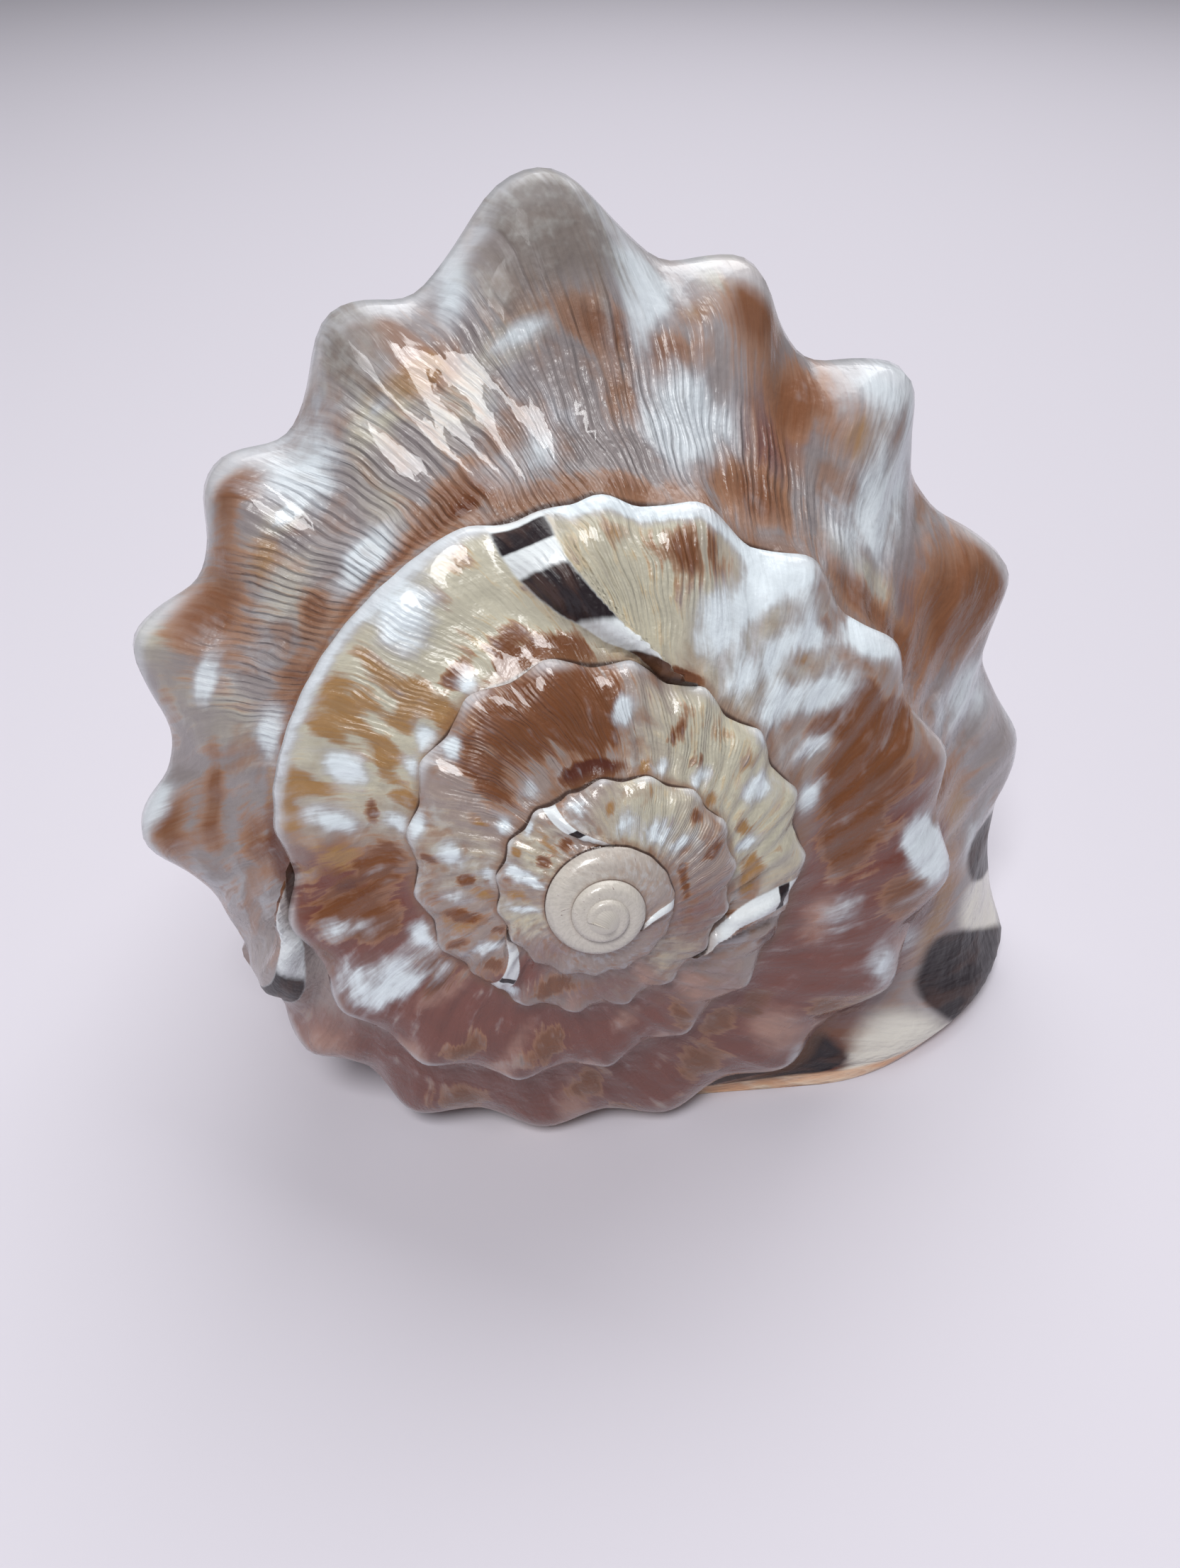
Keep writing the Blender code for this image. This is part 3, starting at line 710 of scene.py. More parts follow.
# Markings. They are part of the shell itself, laid down with each stage of growth: brown and ochre patches
# and bluish white ones that follow the growth lines, dark bars across the old lips, and chalky wear on two
# horns. All are listed. A patch is: turn, reach from the suture, half width in turns, half reach,
# strength. Reach is 0 to 1 over the slope and goes on under the keel and down the body.
# Chalk is wear, crest is where the slope has fine ridges, and pink is a pale blush under the brown. Mauve is
# the shell's own colour, and on the lowest parts below the keel it is also painted shade.
PATCHES = {
    "mauve_and_shade": (
        (-4.05, 0.5, 0.1, 0.9, 0.5), (-3.72, 0.5, 0.06, 0.8, 0.5), (-3.06, 0.5, 0.08, 0.8, 0.5),
        (-2.86, 0.5, 0.14, 0.8, 0.6), (-2.73, 0.5, 0.03, 0.8, 0.8), (-1.86, 0.6, 0.12, 0.8, 1.0),
        (-1.72, 0.5, 0.09, 0.8, 1.0), (-1.61, 0.5, 0.04, 0.6, 1.0), (-1.1, 0.5, 0.05, 0.5, 0.9),
        (-1.0, 0.5, 0.07, 0.9, 1.0), (-0.92, 1.5, 0.12, 0.6, 1.1), (-0.88, 0.5, 0.1, 1.2, 1.0),
        (-0.76, 1.5, 0.08, 0.6, 1.0), (-0.76, 0.5, 0.06, 1.2, 1.0), (-0.265, 0.6, 0.018, 0.4, 0.8),
        (-0.16, 0.5, 0.03, 0.5, 0.8), (-0.05, 0.2, 0.05, 0.3, 0.9), (0.02, 0.1, 0.05, 0.2, 0.8),
    ),
    "cream": (
        (-5.3, 0.5, 0.4, 0.9, 1.0), (-4.7, 0.5, 0.3, 0.9, 0.8), (-3.62, 0.5, 0.05, 0.8, 0.7),
        (-3.48, 0.5, 0.06, 0.8, 0.7), (-3.27, 0.5, 0.09, 0.8, 0.9), (-2.97, 0.5, 0.05, 0.6, 0.5),
        (-2.55, 0.5, 0.05, 0.8, 0.5), (-2.23, 0.6, 0.08, 0.8, 1.0), (-2.12, 0.6, 0.05, 0.8, 0.9),
        (-1.5, 0.6, 0.07, 0.9, 1.0), (-1.4, 0.5, 0.05, 0.9, 1.0), (-1.31, 0.6, 0.05, 0.9, 0.9),
        (-1.23, 0.4, 0.05, 0.5, 0.6), (-1.14, 0.5, 0.02, 0.5, 0.3), (-0.545, 0.55, 0.02, 0.35, 0.45),
        (-0.527, 0.93, 0.008, 0.12, 0.7), (-0.48, 0.45, 0.02, 0.35, 0.45), (-0.46, 0.675, 0.01, 0.04, 0.9),
        (-0.425, 0.5, 0.014, 0.3, 0.45), (-0.41, 0.67, 0.012, 0.05, 0.9), (-0.385, 0.55, 0.016, 0.2, 0.4),
        (-0.36, 0.64, 0.012, 0.04, 0.8), (-0.297, 0.94, 0.01, 0.1, 0.9), (-0.2, 0.33, 0.03, 0.09, 0.7),
    ),
    "ochre": (
        (-3.57, 0.6, 0.016, 0.5, 0.6), (-3.5, 0.8, 0.01, 0.12, 0.9), (-3.45, 0.5, 0.012, 0.4, 0.6),
        (-3.33, 0.6, 0.01, 0.15, 0.7), (-3.28, 0.75, 0.01, 0.2, 0.6), (-2.665, 0.3, 0.01, 0.15, 0.6),
        (-2.63, 0.6, 0.02, 0.4, 0.7), (-2.59, 0.2, 0.014, 0.2, 0.7), (-2.5, 0.35, 0.008, 0.15, 0.7),
        (-2.44, 0.85, 0.01, 0.15, 0.6), (-2.29, 0.13, 0.01, 0.12, 0.9), (-2.24, 0.8, 0.016, 0.2, 0.5),
        (-2.2, 0.15, 0.01, 0.12, 0.8), (-2.195, 0.75, 0.008, 0.2, 0.5), (-2.145, 0.33, 0.01, 0.14, 0.9),
        (-2.1, 0.75, 0.012, 0.2, 0.4), (-2.085, 0.36, 0.028, 0.13, 1.1), (-1.6, 0.85, 0.01, 0.12, 0.6),
        (-1.585, 0.55, 0.014, 0.2, 0.9), (-1.563, 0.88, 0.013, 0.1, 1.0), (-1.543, 0.78, 0.008, 0.16, 0.9),
        (-1.525, 0.15, 0.009, 0.16, 0.9), (-1.512, 0.75, 0.007, 0.2, 0.9), (-1.51, 0.36, 0.01, 0.1, 0.9),
        (-1.5, 0.55, 0.006, 0.35, 0.8), (-1.492, 0.8, 0.006, 0.14, 0.8), (-1.484, 0.6, 0.005, 0.3, 0.7),
        (-1.478, 0.36, 0.008, 0.1, 0.9), (-1.468, 0.65, 0.006, 0.3, 0.8), (-1.458, 0.42, 0.01, 0.12, 0.9),
        (-1.455, 0.14, 0.013, 0.16, 1.1), (-1.44, 0.85, 0.006, 0.1, 0.6), (-1.42, 0.55, 0.006, 0.25, 0.5),
        (-1.405, 0.85, 0.006, 0.1, 0.5), (-1.33, 0.8, 0.01, 0.1, 0.5), (-1.262, 0.55, 0.012, 0.1, 0.8),
        (-1.25, 0.4, 0.01, 0.2, 0.5), (-1.215, 0.58, 0.01, 0.07, 0.9), (-0.935, 1.35, 0.014, 0.25, 1.0),
        (-0.87, 1.09, 0.16, 0.06, 0.8), (-0.87, 1.5, 0.014, 0.25, 1.0), (-0.82, 0.93, 0.03, 0.1, 0.6),
        (-0.81, 1.35, 0.014, 0.25, 1.0), (-0.6, 0.42, 0.012, 0.08, 0.6), (-0.565, 0.24, 0.03, 0.05, 0.7),
        (-0.475, 0.65, 0.013, 0.05, 0.9), (-0.4, 0.7, 0.012, 0.05, 0.6), (-0.392, 0.72, 0.01, 0.08, 0.7),
        (-0.374, 0.97, 0.006, 0.06, 0.9), (-0.305, 0.8, 0.01, 0.06, 0.7), (-0.278, 0.93, 0.007, 0.09, 1.1),
        (-0.232, 0.72, 0.009, 0.11, 1.1), (-0.075, 0.45, 0.022, 0.14, 0.8), (-0.03, 0.4, 0.022, 0.12, 0.9),
    ),
    "chestnut": (
        (-3.545, 0.8, 0.01, 0.16, 0.6), (-3.48, 0.35, 0.016, 0.2, 0.8), (-3.42, 0.3, 0.02, 0.15, 0.8),
        (-3.23, 0.5, 0.01, 0.15, 0.5), (-3.205, 0.82, 0.012, 0.12, 0.8), (-3.15, 0.75, 0.016, 0.18, 0.9),
        (-3.12, 0.25, 0.05, 0.1, 0.8), (-2.8, 0.35, 0.03, 0.2, 0.7), (-2.78, 0.6, 0.016, 0.25, 0.8),
        (-2.72, 0.9, 0.01, 0.12, 0.7), (-2.7, 0.6, 0.012, 0.3, 0.8), (-2.66, 0.75, 0.01, 0.2, 0.7),
        (-2.65, 0.2, 0.012, 0.15, 0.7), (-2.625, 0.55, 0.012, 0.25, 0.9), (-2.6, 0.75, 0.012, 0.2, 0.5),
        (-2.575, 0.4, 0.01, 0.16, 0.9), (-2.56, 0.8, 0.008, 0.12, 0.8), (-2.46, 0.55, 0.018, 0.4, 0.9),
        (-2.41, 0.7, 0.03, 0.35, 1.2), (-2.35, 0.6, 0.03, 0.4, 1.3), (-2.27, 0.6, 0.008, 0.25, 0.6),
        (-2.235, 0.45, 0.008, 0.2, 0.6), (-2.04, 0.3, 0.014, 0.15, 0.9), (-1.925, 0.7, 0.01, 0.25, 0.8),
        (-1.815, 0.55, 0.014, 0.25, 0.9), (-1.76, 0.7, 0.012, 0.2, 0.8), (-1.685, 0.25, 0.02, 0.15, 1.0),
        (-1.64, 0.45, 0.01, 0.2, 0.8), (-1.62, 0.55, 0.02, 0.35, 0.9), (-1.59, 0.35, 0.01, 0.2, 0.9),
        (-1.57, 0.25, 0.012, 0.2, 0.7), (-1.545, 0.38, 0.01, 0.07, 0.8), (-1.435, 0.3, 0.014, 0.1, 0.7),
        (-1.4, 0.12, 0.02, 0.12, 1.0), (-1.395, 0.33, 0.012, 0.1, 0.6), (-1.365, 0.12, 0.022, 0.12, 1.2),
        (-1.292, 0.76, 0.024, 0.16, 0.75), (-1.235, 0.35, 0.008, 0.16, 0.7),
        (-1.212, 0.78, 0.006, 0.12, 0.8), (-1.172, 0.45, 0.008, 0.15, 0.8), (-1.165, 0.65, 0.02, 0.15, 1.0),
        (-1.15, 0.9, 0.01, 0.1, 0.7), (-1.142, 0.65, 0.012, 0.2, 0.9), (-1.12, 0.45, 0.035, 0.3, 1.0),
        (-1.085, 0.35, 0.02, 0.12, 0.9), (-1.055, 0.75, 0.014, 0.2, 0.9), (-0.985, 0.75, 0.012, 0.15, 0.9),
        (-0.94, 0.3, 0.014, 0.12, 0.8), (-0.915, 0.55, 0.016, 0.2, 0.8), (-0.87, 0.8, 0.01, 0.12, 0.8),
        (-0.85, 0.45, 0.012, 0.2, 0.8), (-0.79, 0.7, 0.014, 0.2, 0.8), (-0.6, 0.36, 0.018, 0.12, 0.8),
        (-0.597, 0.81, 0.013, 0.09, 1.0), (-0.583, 0.62, 0.03, 0.06, 0.9), (-0.53, 0.17, 0.05, 0.04, 0.8),
        (-0.505, 0.8, 0.022, 0.15, 0.9), (-0.505, 0.28, 0.03, 0.1, 0.7), (-0.477, 0.36, 0.008, 0.08, 1.0),
        (-0.468, 0.86, 0.012, 0.06, 1.0), (-0.44, 0.19, 0.035, 0.05, 0.9), (-0.4, 0.24, 0.02, 0.12, 1.0),
        (-0.335, 0.1, 0.05, 0.07, 0.7), (-0.325, 0.66, 0.026, 0.06, 1.0), (-0.322, 0.48, 0.012, 0.12, 0.7),
        (-0.287, 0.87, 0.009, 0.12, 1.1), (-0.268, 0.29, 0.025, 0.12, 0.9), (-0.262, 0.75, 0.016, 0.2, 0.9),
        (-0.197, 0.2, 0.026, 0.09, 1.1), (-0.16, 0.2, 0.014, 0.12, 1.0), (-0.155, 0.7, 0.022, 0.35, 1.1),
        (-0.09, 0.3, 0.012, 0.25, 0.7), (-0.045, 0.2, 0.012, 0.2, 0.7),
    ),
    "white": (
        (-3.6, 0.5, 0.012, 0.4, 0.8), (-3.53, 0.55, 0.016, 0.5, 1.0), (-3.46, 0.95, 0.012, 0.12, 0.9),
        (-3.38, 0.75, 0.02, 0.3, 0.6), (-3.3, 0.35, 0.02, 0.25, 0.8), (-3.24, 0.35, 0.03, 0.25, 0.8),
        (-3.19, 0.4, 0.012, 0.2, 0.7), (-2.745, 0.9, 0.012, 0.2, 0.8), (-2.675, 0.45, 0.01, 0.3, 0.8),
        (-2.6, 0.55, 0.01, 0.2, 0.6), (-2.56, 0.12, 0.018, 0.15, 1.0), (-2.55, 0.55, 0.018, 0.14, 0.9),
        (-2.535, 0.93, 0.012, 0.09, 1.1), (-2.485, 0.15, 0.014, 0.12, 0.9), (-2.465, 0.9, 0.008, 0.1, 1.1),
        (-2.43, 0.2, 0.012, 0.1, 0.6), (-2.322, 0.62, 0.009, 0.13, 1.2), (-2.27, 0.2, 0.01, 0.14, 0.8),
        (-2.225, 0.25, 0.01, 0.18, 1.0), (-2.2, 0.95, 0.008, 0.08, 0.8), (-2.17, 0.68, 0.014, 0.22, 1.1),
        (-2.125, 0.3, 0.009, 0.18, 1.0), (-1.69, 0.55, 0.01, 0.3, 0.7), (-1.675, 0.6, 0.016, 0.45, 0.7),
        (-1.65, 0.16, 0.015, 0.14, 0.9), (-1.635, 0.62, 0.008, 0.2, 0.6), (-1.56, 0.6, 0.009, 0.17, 1.1),
        (-1.545, 0.16, 0.01, 0.16, 1.0), (-1.525, 0.62, 0.01, 0.17, 1.0), (-1.5, 0.14, 0.007, 0.13, 0.8),
        (-1.48, 1.02, 0.09, 0.095, 1.7), (-1.476, 0.15, 0.009, 0.14, 1.1), (-1.44, 0.75, 0.018, 0.22, 0.9),
        (-1.43, 0.13, 0.007, 0.14, 1.0), (-1.31, 0.97, 0.05, 0.07, 1.5), (-1.27, 0.45, 0.014, 0.25, 0.9),
        (-1.255, 0.65, 0.01, 0.25, 0.9), (-1.246, 0.9, 0.014, 0.15, 1.5), (-1.24, 0.3, 0.012, 0.2, 0.7),
        (-1.225, 0.5, 0.01, 0.3, 0.8), (-1.213, 0.72, 0.01, 0.09, 0.9), (-1.2, 0.28, 0.014, 0.22, 1.0),
        (-1.19, 0.93, 0.014, 0.12, 1.6), (-1.185, 0.55, 0.01, 0.18, 1.1), (-1.16, 0.3, 0.01, 0.15, 0.7),
        (-1.13, 0.15, 0.014, 0.1, 1.1), (-1.078, 0.85, 0.015, 0.14, 1.8), (-1.04, 0.45, 0.02, 0.12, 0.5),
        (-1.015, 0.85, 0.01, 0.16, 0.8), (-0.955, 0.9, 0.008, 0.1, 0.6), (-0.59, 0.94, 0.012, 0.12, 0.9),
        (-0.54, 0.3, 0.016, 0.1, 0.9), (-0.53, 0.66, 0.013, 0.035, 1.2), (-0.46, 0.68, 0.006, 0.02, 1.2),
        (-0.445, 0.78, 0.018, 0.22, 0.9), (-0.445, 0.31, 0.018, 0.09, 1.1),
        (-0.412, 0.665, 0.006, 0.02, 1.0), (-0.378, 0.9, 0.007, 0.16, 0.9), (-0.36, 0.28, 0.018, 0.12, 0.7),
        (-0.36, 0.635, 0.01, 0.025, 1.2), (-0.322, 0.78, 0.007, 0.2, 0.9), (-0.32, 0.86, 0.018, 0.09, 0.8),
        (-0.3, 0.43, 0.02, 0.19, 1.1), (-0.236, 0.93, 0.012, 0.12, 1.2), (-0.212, 0.6, 0.018, 0.35, 1.0),
        (-0.12, 0.65, 0.014, 0.35, 0.9), (-0.06, 0.6, 0.012, 0.15, 0.6), (-0.02, 0.25, 0.01, 0.15, 0.5),
    ),
    "maroon_and_hollow_shade": (
        (-2.355, 0.14, 0.036, 0.11, 1.4), (-2.02, 0.9, 0.01, 0.15, 0.8), (-1.7, 0.35, 0.018, 0.2, 0.55),
        (-1.655, 0.9, 0.016, 0.12, 0.5), (-1.605, 0.55, 0.022, 0.3, 0.55), (-1.275, 0.08, 0.016, 0.07, 1.2),
        (-0.96, 0.35, 0.02, 0.15, 0.55), (-0.598, 0.12, 0.022, 0.14, 1.5), (-0.395, 0.18, 0.01, 0.07, 0.8),
        # This last patch is painted shade in the hollow behind the lip.
        (0.055, 0.3, 0.03, 0.3, 1.2),
    ),
    "chalk": (
        (-0.412, 0.86, 0.014, 0.16, 1.0), (-0.35, 0.86, 0.02, 0.16, 1.2),
    ),
    "crest": (
        (-3.2, 0.6, 0.2, 0.6, 0.6), (-2.41, 0.6, 0.09, 0.5, 1.0), (-2.25, 0.6, 0.06, 0.5, 0.6),
        (-1.46, 0.6, 0.07, 0.4, 0.5), (-1.32, 0.65, 0.05, 0.4, 0.9), (-0.46, 0.45, 0.09, 0.35, 1.0),
        (-0.355, 0.4, 0.06, 0.35, 1.0), (-0.25, 0.4, 0.04, 0.3, 0.5),
    ),
    "pink": (
        (-2.92, 0.55, 0.016, 0.5, 0.8), (-2.82, 0.8, 0.014, 0.2, 0.8), (-1.965, 0.95, 0.014, 0.12, 0.9),
        (-1.95, 0.5, 0.016, 0.4, 0.9), (-1.905, 0.96, 0.014, 0.12, 1.0), (-1.88, 0.4, 0.014, 0.2, 0.7),
        (-1.85, 0.97, 0.012, 0.12, 1.0), (-1.79, 0.96, 0.012, 0.12, 1.0), (-1.79, 0.55, 0.01, 0.3, 0.6),
        (-1.735, 0.96, 0.012, 0.12, 1.0), (-1.71, 0.35, 0.014, 0.25, 0.7), (-1.035, 0.3, 0.02, 0.12, 0.8),
        (-1.02, 0.97, 0.014, 0.12, 0.9), (-0.97, 1.4, 0.02, 0.3, 0.9), (-0.96, 0.62, 0.014, 0.3, 0.9),
        (-0.93, 1.08, 0.1, 0.05, 0.5), (-0.9, 0.95, 0.012, 0.14, 1.0), (-0.9, 1.3, 0.022, 0.3, 0.9),
        (-0.845, 0.6, 0.01, 0.35, 0.8), (-0.84, 1.45, 0.02, 0.35, 0.9), (-0.8, 0.97, 0.012, 0.12, 0.9),
        (-0.78, 1.3, 0.02, 0.3, 0.9), (-0.72, 0.8, 0.014, 0.3, 0.7), (-0.72, 1.5, 0.02, 0.4, 0.8),
    ),
}

# Dark bars on the old lips: which lip, counted back from the newest, then across and half width across
OLD_LIP_BARS = (
    (0, 0.76, 0.44), (1, 0.865, 0.085), (1, 0.45, 0.19), (1, 0.06, 0.055), (2, 0.78, 0.07), (3, 0.62, 0.06),
    (4, 0.35, 0.08),
)
# Half widths of the white old lips, and how far behind its edge each one's crest is, in turns
OLD_LIP_WIDTHS = (0.0085, 0.0125, 0.0100, 0.0095, 0.0090, 0.0090)
OLD_LIP_CREST = -0.011
FAR_FROM_LIP = 4.0
# Dark bars on the outer lip, painted shade in the hollow behind it, and the cream shell between them
BARS_AND_HOLLOW_SHADE = (
    (-0.051, 1.00, 0.0120, 0.42, 1.0), (-0.011, 0.88, 0.0155, 0.50, 1.0), (0.062, 0.20, 0.032, 0.15, 1.0),
    (-1.590, 1.07, 0.022, 0.06, 0.9),
)
BARE = (
    (-0.033, 1.00, 0.011, 0.45, 1.0), (0.022, 0.85, 0.020, 0.62, 1.0), (0.070, 0.80, 0.034, 0.36, 1.0),
)
BAR_SHARPNESS, BARE_SHARPNESS = 4.0, 3.0
UNDER_REACH, BODY_REACH = 0.15, 2.5
GRAIN_ALONG, GRAIN_BODY = 11, 3

corner_vertex, turn, across, inside = corner_values(data)
points = vertex_places(data)[corner_vertex]
slope = np.clip(across, 0, 1)
under = np.clip(across - 1, 0, 1)
body = np.clip(across - 2, 0, 1)
stage = turn + GROWTH_SLANT * slope
reach = slope + UNDER_REACH * under + BODY_REACH * body


def painted(patches, sharpness=2.0):
    total = np.zeros(len(turn))
    for middle, out, half_turn, half_out, strength in patches:
        along = np.abs((turn - middle) / half_turn) ** sharpness
        total += strength * np.exp(-along - np.abs((reach - out) / half_out) ** sharpness)
    return total * (1 - inside)


for name, patches in PATCHES.items():
    store(data, name, painted(patches))
store(data, "bar_and_hollow_shade", painted(BARS_AND_HOLLOW_SHADE, BAR_SHARPNESS))
store(data, "bare", painted(BARE, BARE_SHARPNESS))

# The nearest old lip: how far off it is, against its width, and whether a dark bar crosses it here
lip_side = np.full(len(turn), FAR_FROM_LIP)
lip_bar = np.zeros(len(turn))
for number, (middle, _, trail) in enumerate(VARICES):
    side = np.abs(past_lip(turn, slope, middle, trail) - OLD_LIP_CREST) / OLD_LIP_WIDTHS[number]
    nearest = side < lip_side
    pattern = sum(hill(across, out, half_out) for which, out, half_out in OLD_LIP_BARS if which == number)
    lip_side = np.where(nearest, side, lip_side)
    lip_bar = np.where(nearest, pattern, lip_bar)
store(data, "lip_side", lip_side)
store(data, "lip_bar", lip_bar)
store(data, "lip_seen", (1 - smooth(across, 1.2, 2.3)) * (1 - inside))

# Where on the shell each corner is: on a knob's tip, at a suture, on the last whorl, below the keel
knob_share = knob_height(turn) / (KNOB_HEIGHT * LIP_RADIUS * GROWTH**turn)
store(data, "tip", knob_share * hill(across, 0.99, 0.09) * (1 - inside))
grain_out = slope + UNDER_REACH * under + GRAIN_BODY * body
store(data, "grain", np.stack([GRAIN_ALONG * stage, grain_out, np.zeros(len(turn))], axis=1), "FLOAT_VECTOR")
# The suture's painted shade fades out towards the tip, and under the keel it is laid only on whorls that have
# another below them
store(data, "seam", smooth(turn, -5.2, -3.6) * (1 - inside))
store(data, "suture_shade_below", (turn < CLOSING_TURN - 1) * 1.0)
store(data, "last", smooth(turn, -0.75, -0.60))
store(data, "below", smooth(reach, 1.10, 1.45))
store(data, "size", GROWTH**turn)
store(data, "nucleus", 1 - smooth(turn, -4.6, -3.9))

# The glazed underside: the shield, the slit's edges and the inside, with the count of teeth along the slit
across_plan, along_plan = plan(points)
from_slit = np.abs(across_plan - mouth_middle(along_plan)) / MOUTH_HALF_WIDTH
share = (along_plan - MOUTH_START) / (MOUTH_END - MOUTH_START)
beside = (1 - smooth(from_slit, 2.2, 3.4)) * (1 - smooth(points[:, 2], 0.0040, 0.0062))
beside = beside * smooth(share, -0.01, 0.04)
on_floor = 1 - smooth(points[:, 2], 0.0006, 0.0028)
store(data, "inside", inside)
store(data, "glaze", np.maximum(np.maximum(inside, beside), on_floor))
store(data, "slit", from_slit + 4 * smooth(-share, -0.02, 0.04) + 4 * smooth(share, 0.80, 0.90))
store(data, "teeth", share * MOUTH_TEETH)

# Finish. The pigments are given as the light that each sends back: red, green, blue. Noise along the growth
# lines breaks up their edges. The surface is glossy under a thin clear coat, but dull where it is chalky.
GREY_GROUND = (0.285, 0.250, 0.250)
WARM_GROUND = (0.330, 0.260, 0.235)
PALE_GREY = (0.400, 0.400, 0.430)
# Mauve: the shell's own colour, and painted shade on the lowest parts below the keel
MAUVE_AND_SHADE = (0.168, 0.055, 0.040)
CREAM = (0.520, 0.490, 0.390)
PALE_OCHRE = (0.480, 0.340, 0.170)
NUCLEUS = (0.560, 0.520, 0.470)
TAN = (0.310, 0.155, 0.085)
OCHRE = (0.330, 0.185, 0.075)
CHESTNUT = (0.165, 0.058, 0.022)
# Maroon marks, also used for painted shade in the hollow behind the lip
MAROON_AND_SHADE = (0.085, 0.022, 0.014)
BLUE_WHITE = (0.700, 0.770, 0.820)
CHALK_DARK = (0.150, 0.122, 0.105)
CHALK_PALE = (0.270, 0.262, 0.245)
LIP_WHITE = (0.780, 0.830, 0.860)
# Colours of the dark bars, also used for painted shade in the hollow behind the outer lip
DARK_BAR_AND_SHADE = (0.020, 0.014, 0.017)
BROWN_BAR_AND_SHADE = (0.055, 0.030, 0.026)
# Painted shade for the suture's crevice: the dark line, then the brown band beside it
SUTURE_SHADE = (0.038, 0.018, 0.014)
SUTURE_SHADE_BROWN = (0.210, 0.095, 0.045)
PALE_PINK = (0.400, 0.235, 0.185)
# Pale knob tips: partly their own colour, partly a painted highlight on the crests
TIP_PALE_AND_HIGHLIGHT = (0.620, 0.640, 0.680)
LIP_CREAM = (0.740, 0.710, 0.640)
GLAZE_PEACH = (0.640, 0.370, 0.230)
GLAZE_CREAM = (0.720, 0.560, 0.430)
TOOTH_BROWN = (0.110, 0.035, 0.020)
TOOTH_CREAM = (0.700, 0.620, 0.520)
DRIFT = 0.24
# Noises on the coil, by scale: blotches, then marks drawn out along the growth lines
CLOUD_SCALE, BLOTCH_SCALE = 1.6, 4.5
FEATHER_STRETCH = (13.0, 2.2, 1.0)
THREAD_STRETCH = (55.0, 4.0, 1.0)
# Noises in the shell's own space, for its fine wear
GRIT_SCALE, WEAR_SCALE = 900.0, 260.0
RIDGE_PITCH = 0.0036
RIDGE_HEIGHT, THREAD_HEIGHT = 0.00012, 0.00034
DENT_HEIGHT, FEATHER_HEIGHT = 0.0010, 0.0003
GRIT_HEIGHT, CHALK_HEIGHT = 0.00016, 0.0004
GLOSS_ROUGHNESS, CHALK_ROUGHNESS, BAR_ROUGHNESS = 0.27, 0.35, 0.08
CLEAR_COAT, COAT_ROUGHNESS = 0.45, 0.04
SHELL_IOR = 1.42
SHARP_EDGE = math.radians(50)


def attribute(name, output="Fac"):
    return Socket.node("ShaderNodeAttribute", {"attribute_name": name}, output=output)


def vector_math(operation, *values):
    return Socket.node("ShaderNodeVectorMath", {"operation": operation}, dict(enumerate(values)))


def noise(vector, scale, detail, output="Fac"):
    inputs = {"Vector": vector, "Scale": scale, "Detail": detail}
    return Socket.node("ShaderNodeTexNoise", {}, inputs, output)


def between(value, low, high):
    """0 where the value is under low, 1 over high."""
    inputs = {"Value": value, "From Min": low, "From Max": high}
    return Socket.node("ShaderNodeMapRange", {"interpolation_type": "SMOOTHSTEP"}, inputs)


def mixed(share, first, second):
    colour = {6: (*first, 1.0) if isinstance(first, tuple) else first}
    colour[7] = (*second, 1.0) if isinstance(second, tuple) else second
    return Socket.node("ShaderNodeMix", {"data_type": "RGBA"}, {0: share, **colour}, output=2)


def tinted(colour, shade):
    """The colour times a shade that varies over the surface."""
    grey = Socket.node("ShaderNodeCombineXYZ", {}, {0: shade, 1: shade, 2: shade})
    settings = {"data_type": "RGBA", "blend_type": "MULTIPLY"}
    return Socket.node("ShaderNodeMix", settings, {0: 1.0, 6: colour, 7: grey}, output=2)


material.use_nodes = True
Socket.tree = material.node_tree
shader = material.node_tree.nodes["Principled BSDF"]

grain = attribute("grain", "Vector")
drift = noise(grain, 1.7, 2.0, "Color")
drift = vector_math("MULTIPLY_ADD", drift, (DRIFT, DRIFT, 0.0), (-DRIFT / 2, -DRIFT / 2, 0.0))
wandering = vector_math("ADD", grain, drift)
blotch = noise(wandering, BLOTCH_SCALE, 4.0) - 0.5
feather = noise(vector_math("MULTIPLY", wandering, FEATHER_STRETCH), 1.0, 4.0) - 0.5
thread = noise(vector_math("MULTIPLY", wandering, THREAD_STRETCH), 1.0, 3.0) - 0.5
cloud = noise(wandering, CLOUD_SCALE, 5.0) - 0.5
object_place = Socket.node("ShaderNodeTexCoord", output="Object")
grit = noise(object_place, GRIT_SCALE, 3.0) - 0.5
rough_patch = noise(object_place, WEAR_SCALE, 3.0) - 0.5

last = attribute("last")
below = attribute("below")
crispness = 1.9 - 0.9 * last


def mark(name, low, high, ragged=1.0):
    """A mark's share of the colour. Marks are crisp on the inner whorls and soft on the last one."""
    value = attribute(name) + feather * ragged + blotch * ragged + thread * (0.4 * ragged) - 0.5
    return between(value * crispness, low - 0.5, high - 0.5)


def soft(name):
    return between(attribute(name) + blotch * 0.9 + feather * 0.4, 0.1, 0.95)


def laid_on(colour, name, tint, halo, halo_share, ragged=1.0):
    """A mark whose edge fades through a paler halo."""
    colour = mixed(mark(name, 0.10, 0.50, 1.3 * ragged) * halo_share, colour, halo)
    return mixed(mark(name, 0.34, 0.86, ragged) * (0.92 - 0.22 * last + thread * 0.5), colour, tint)


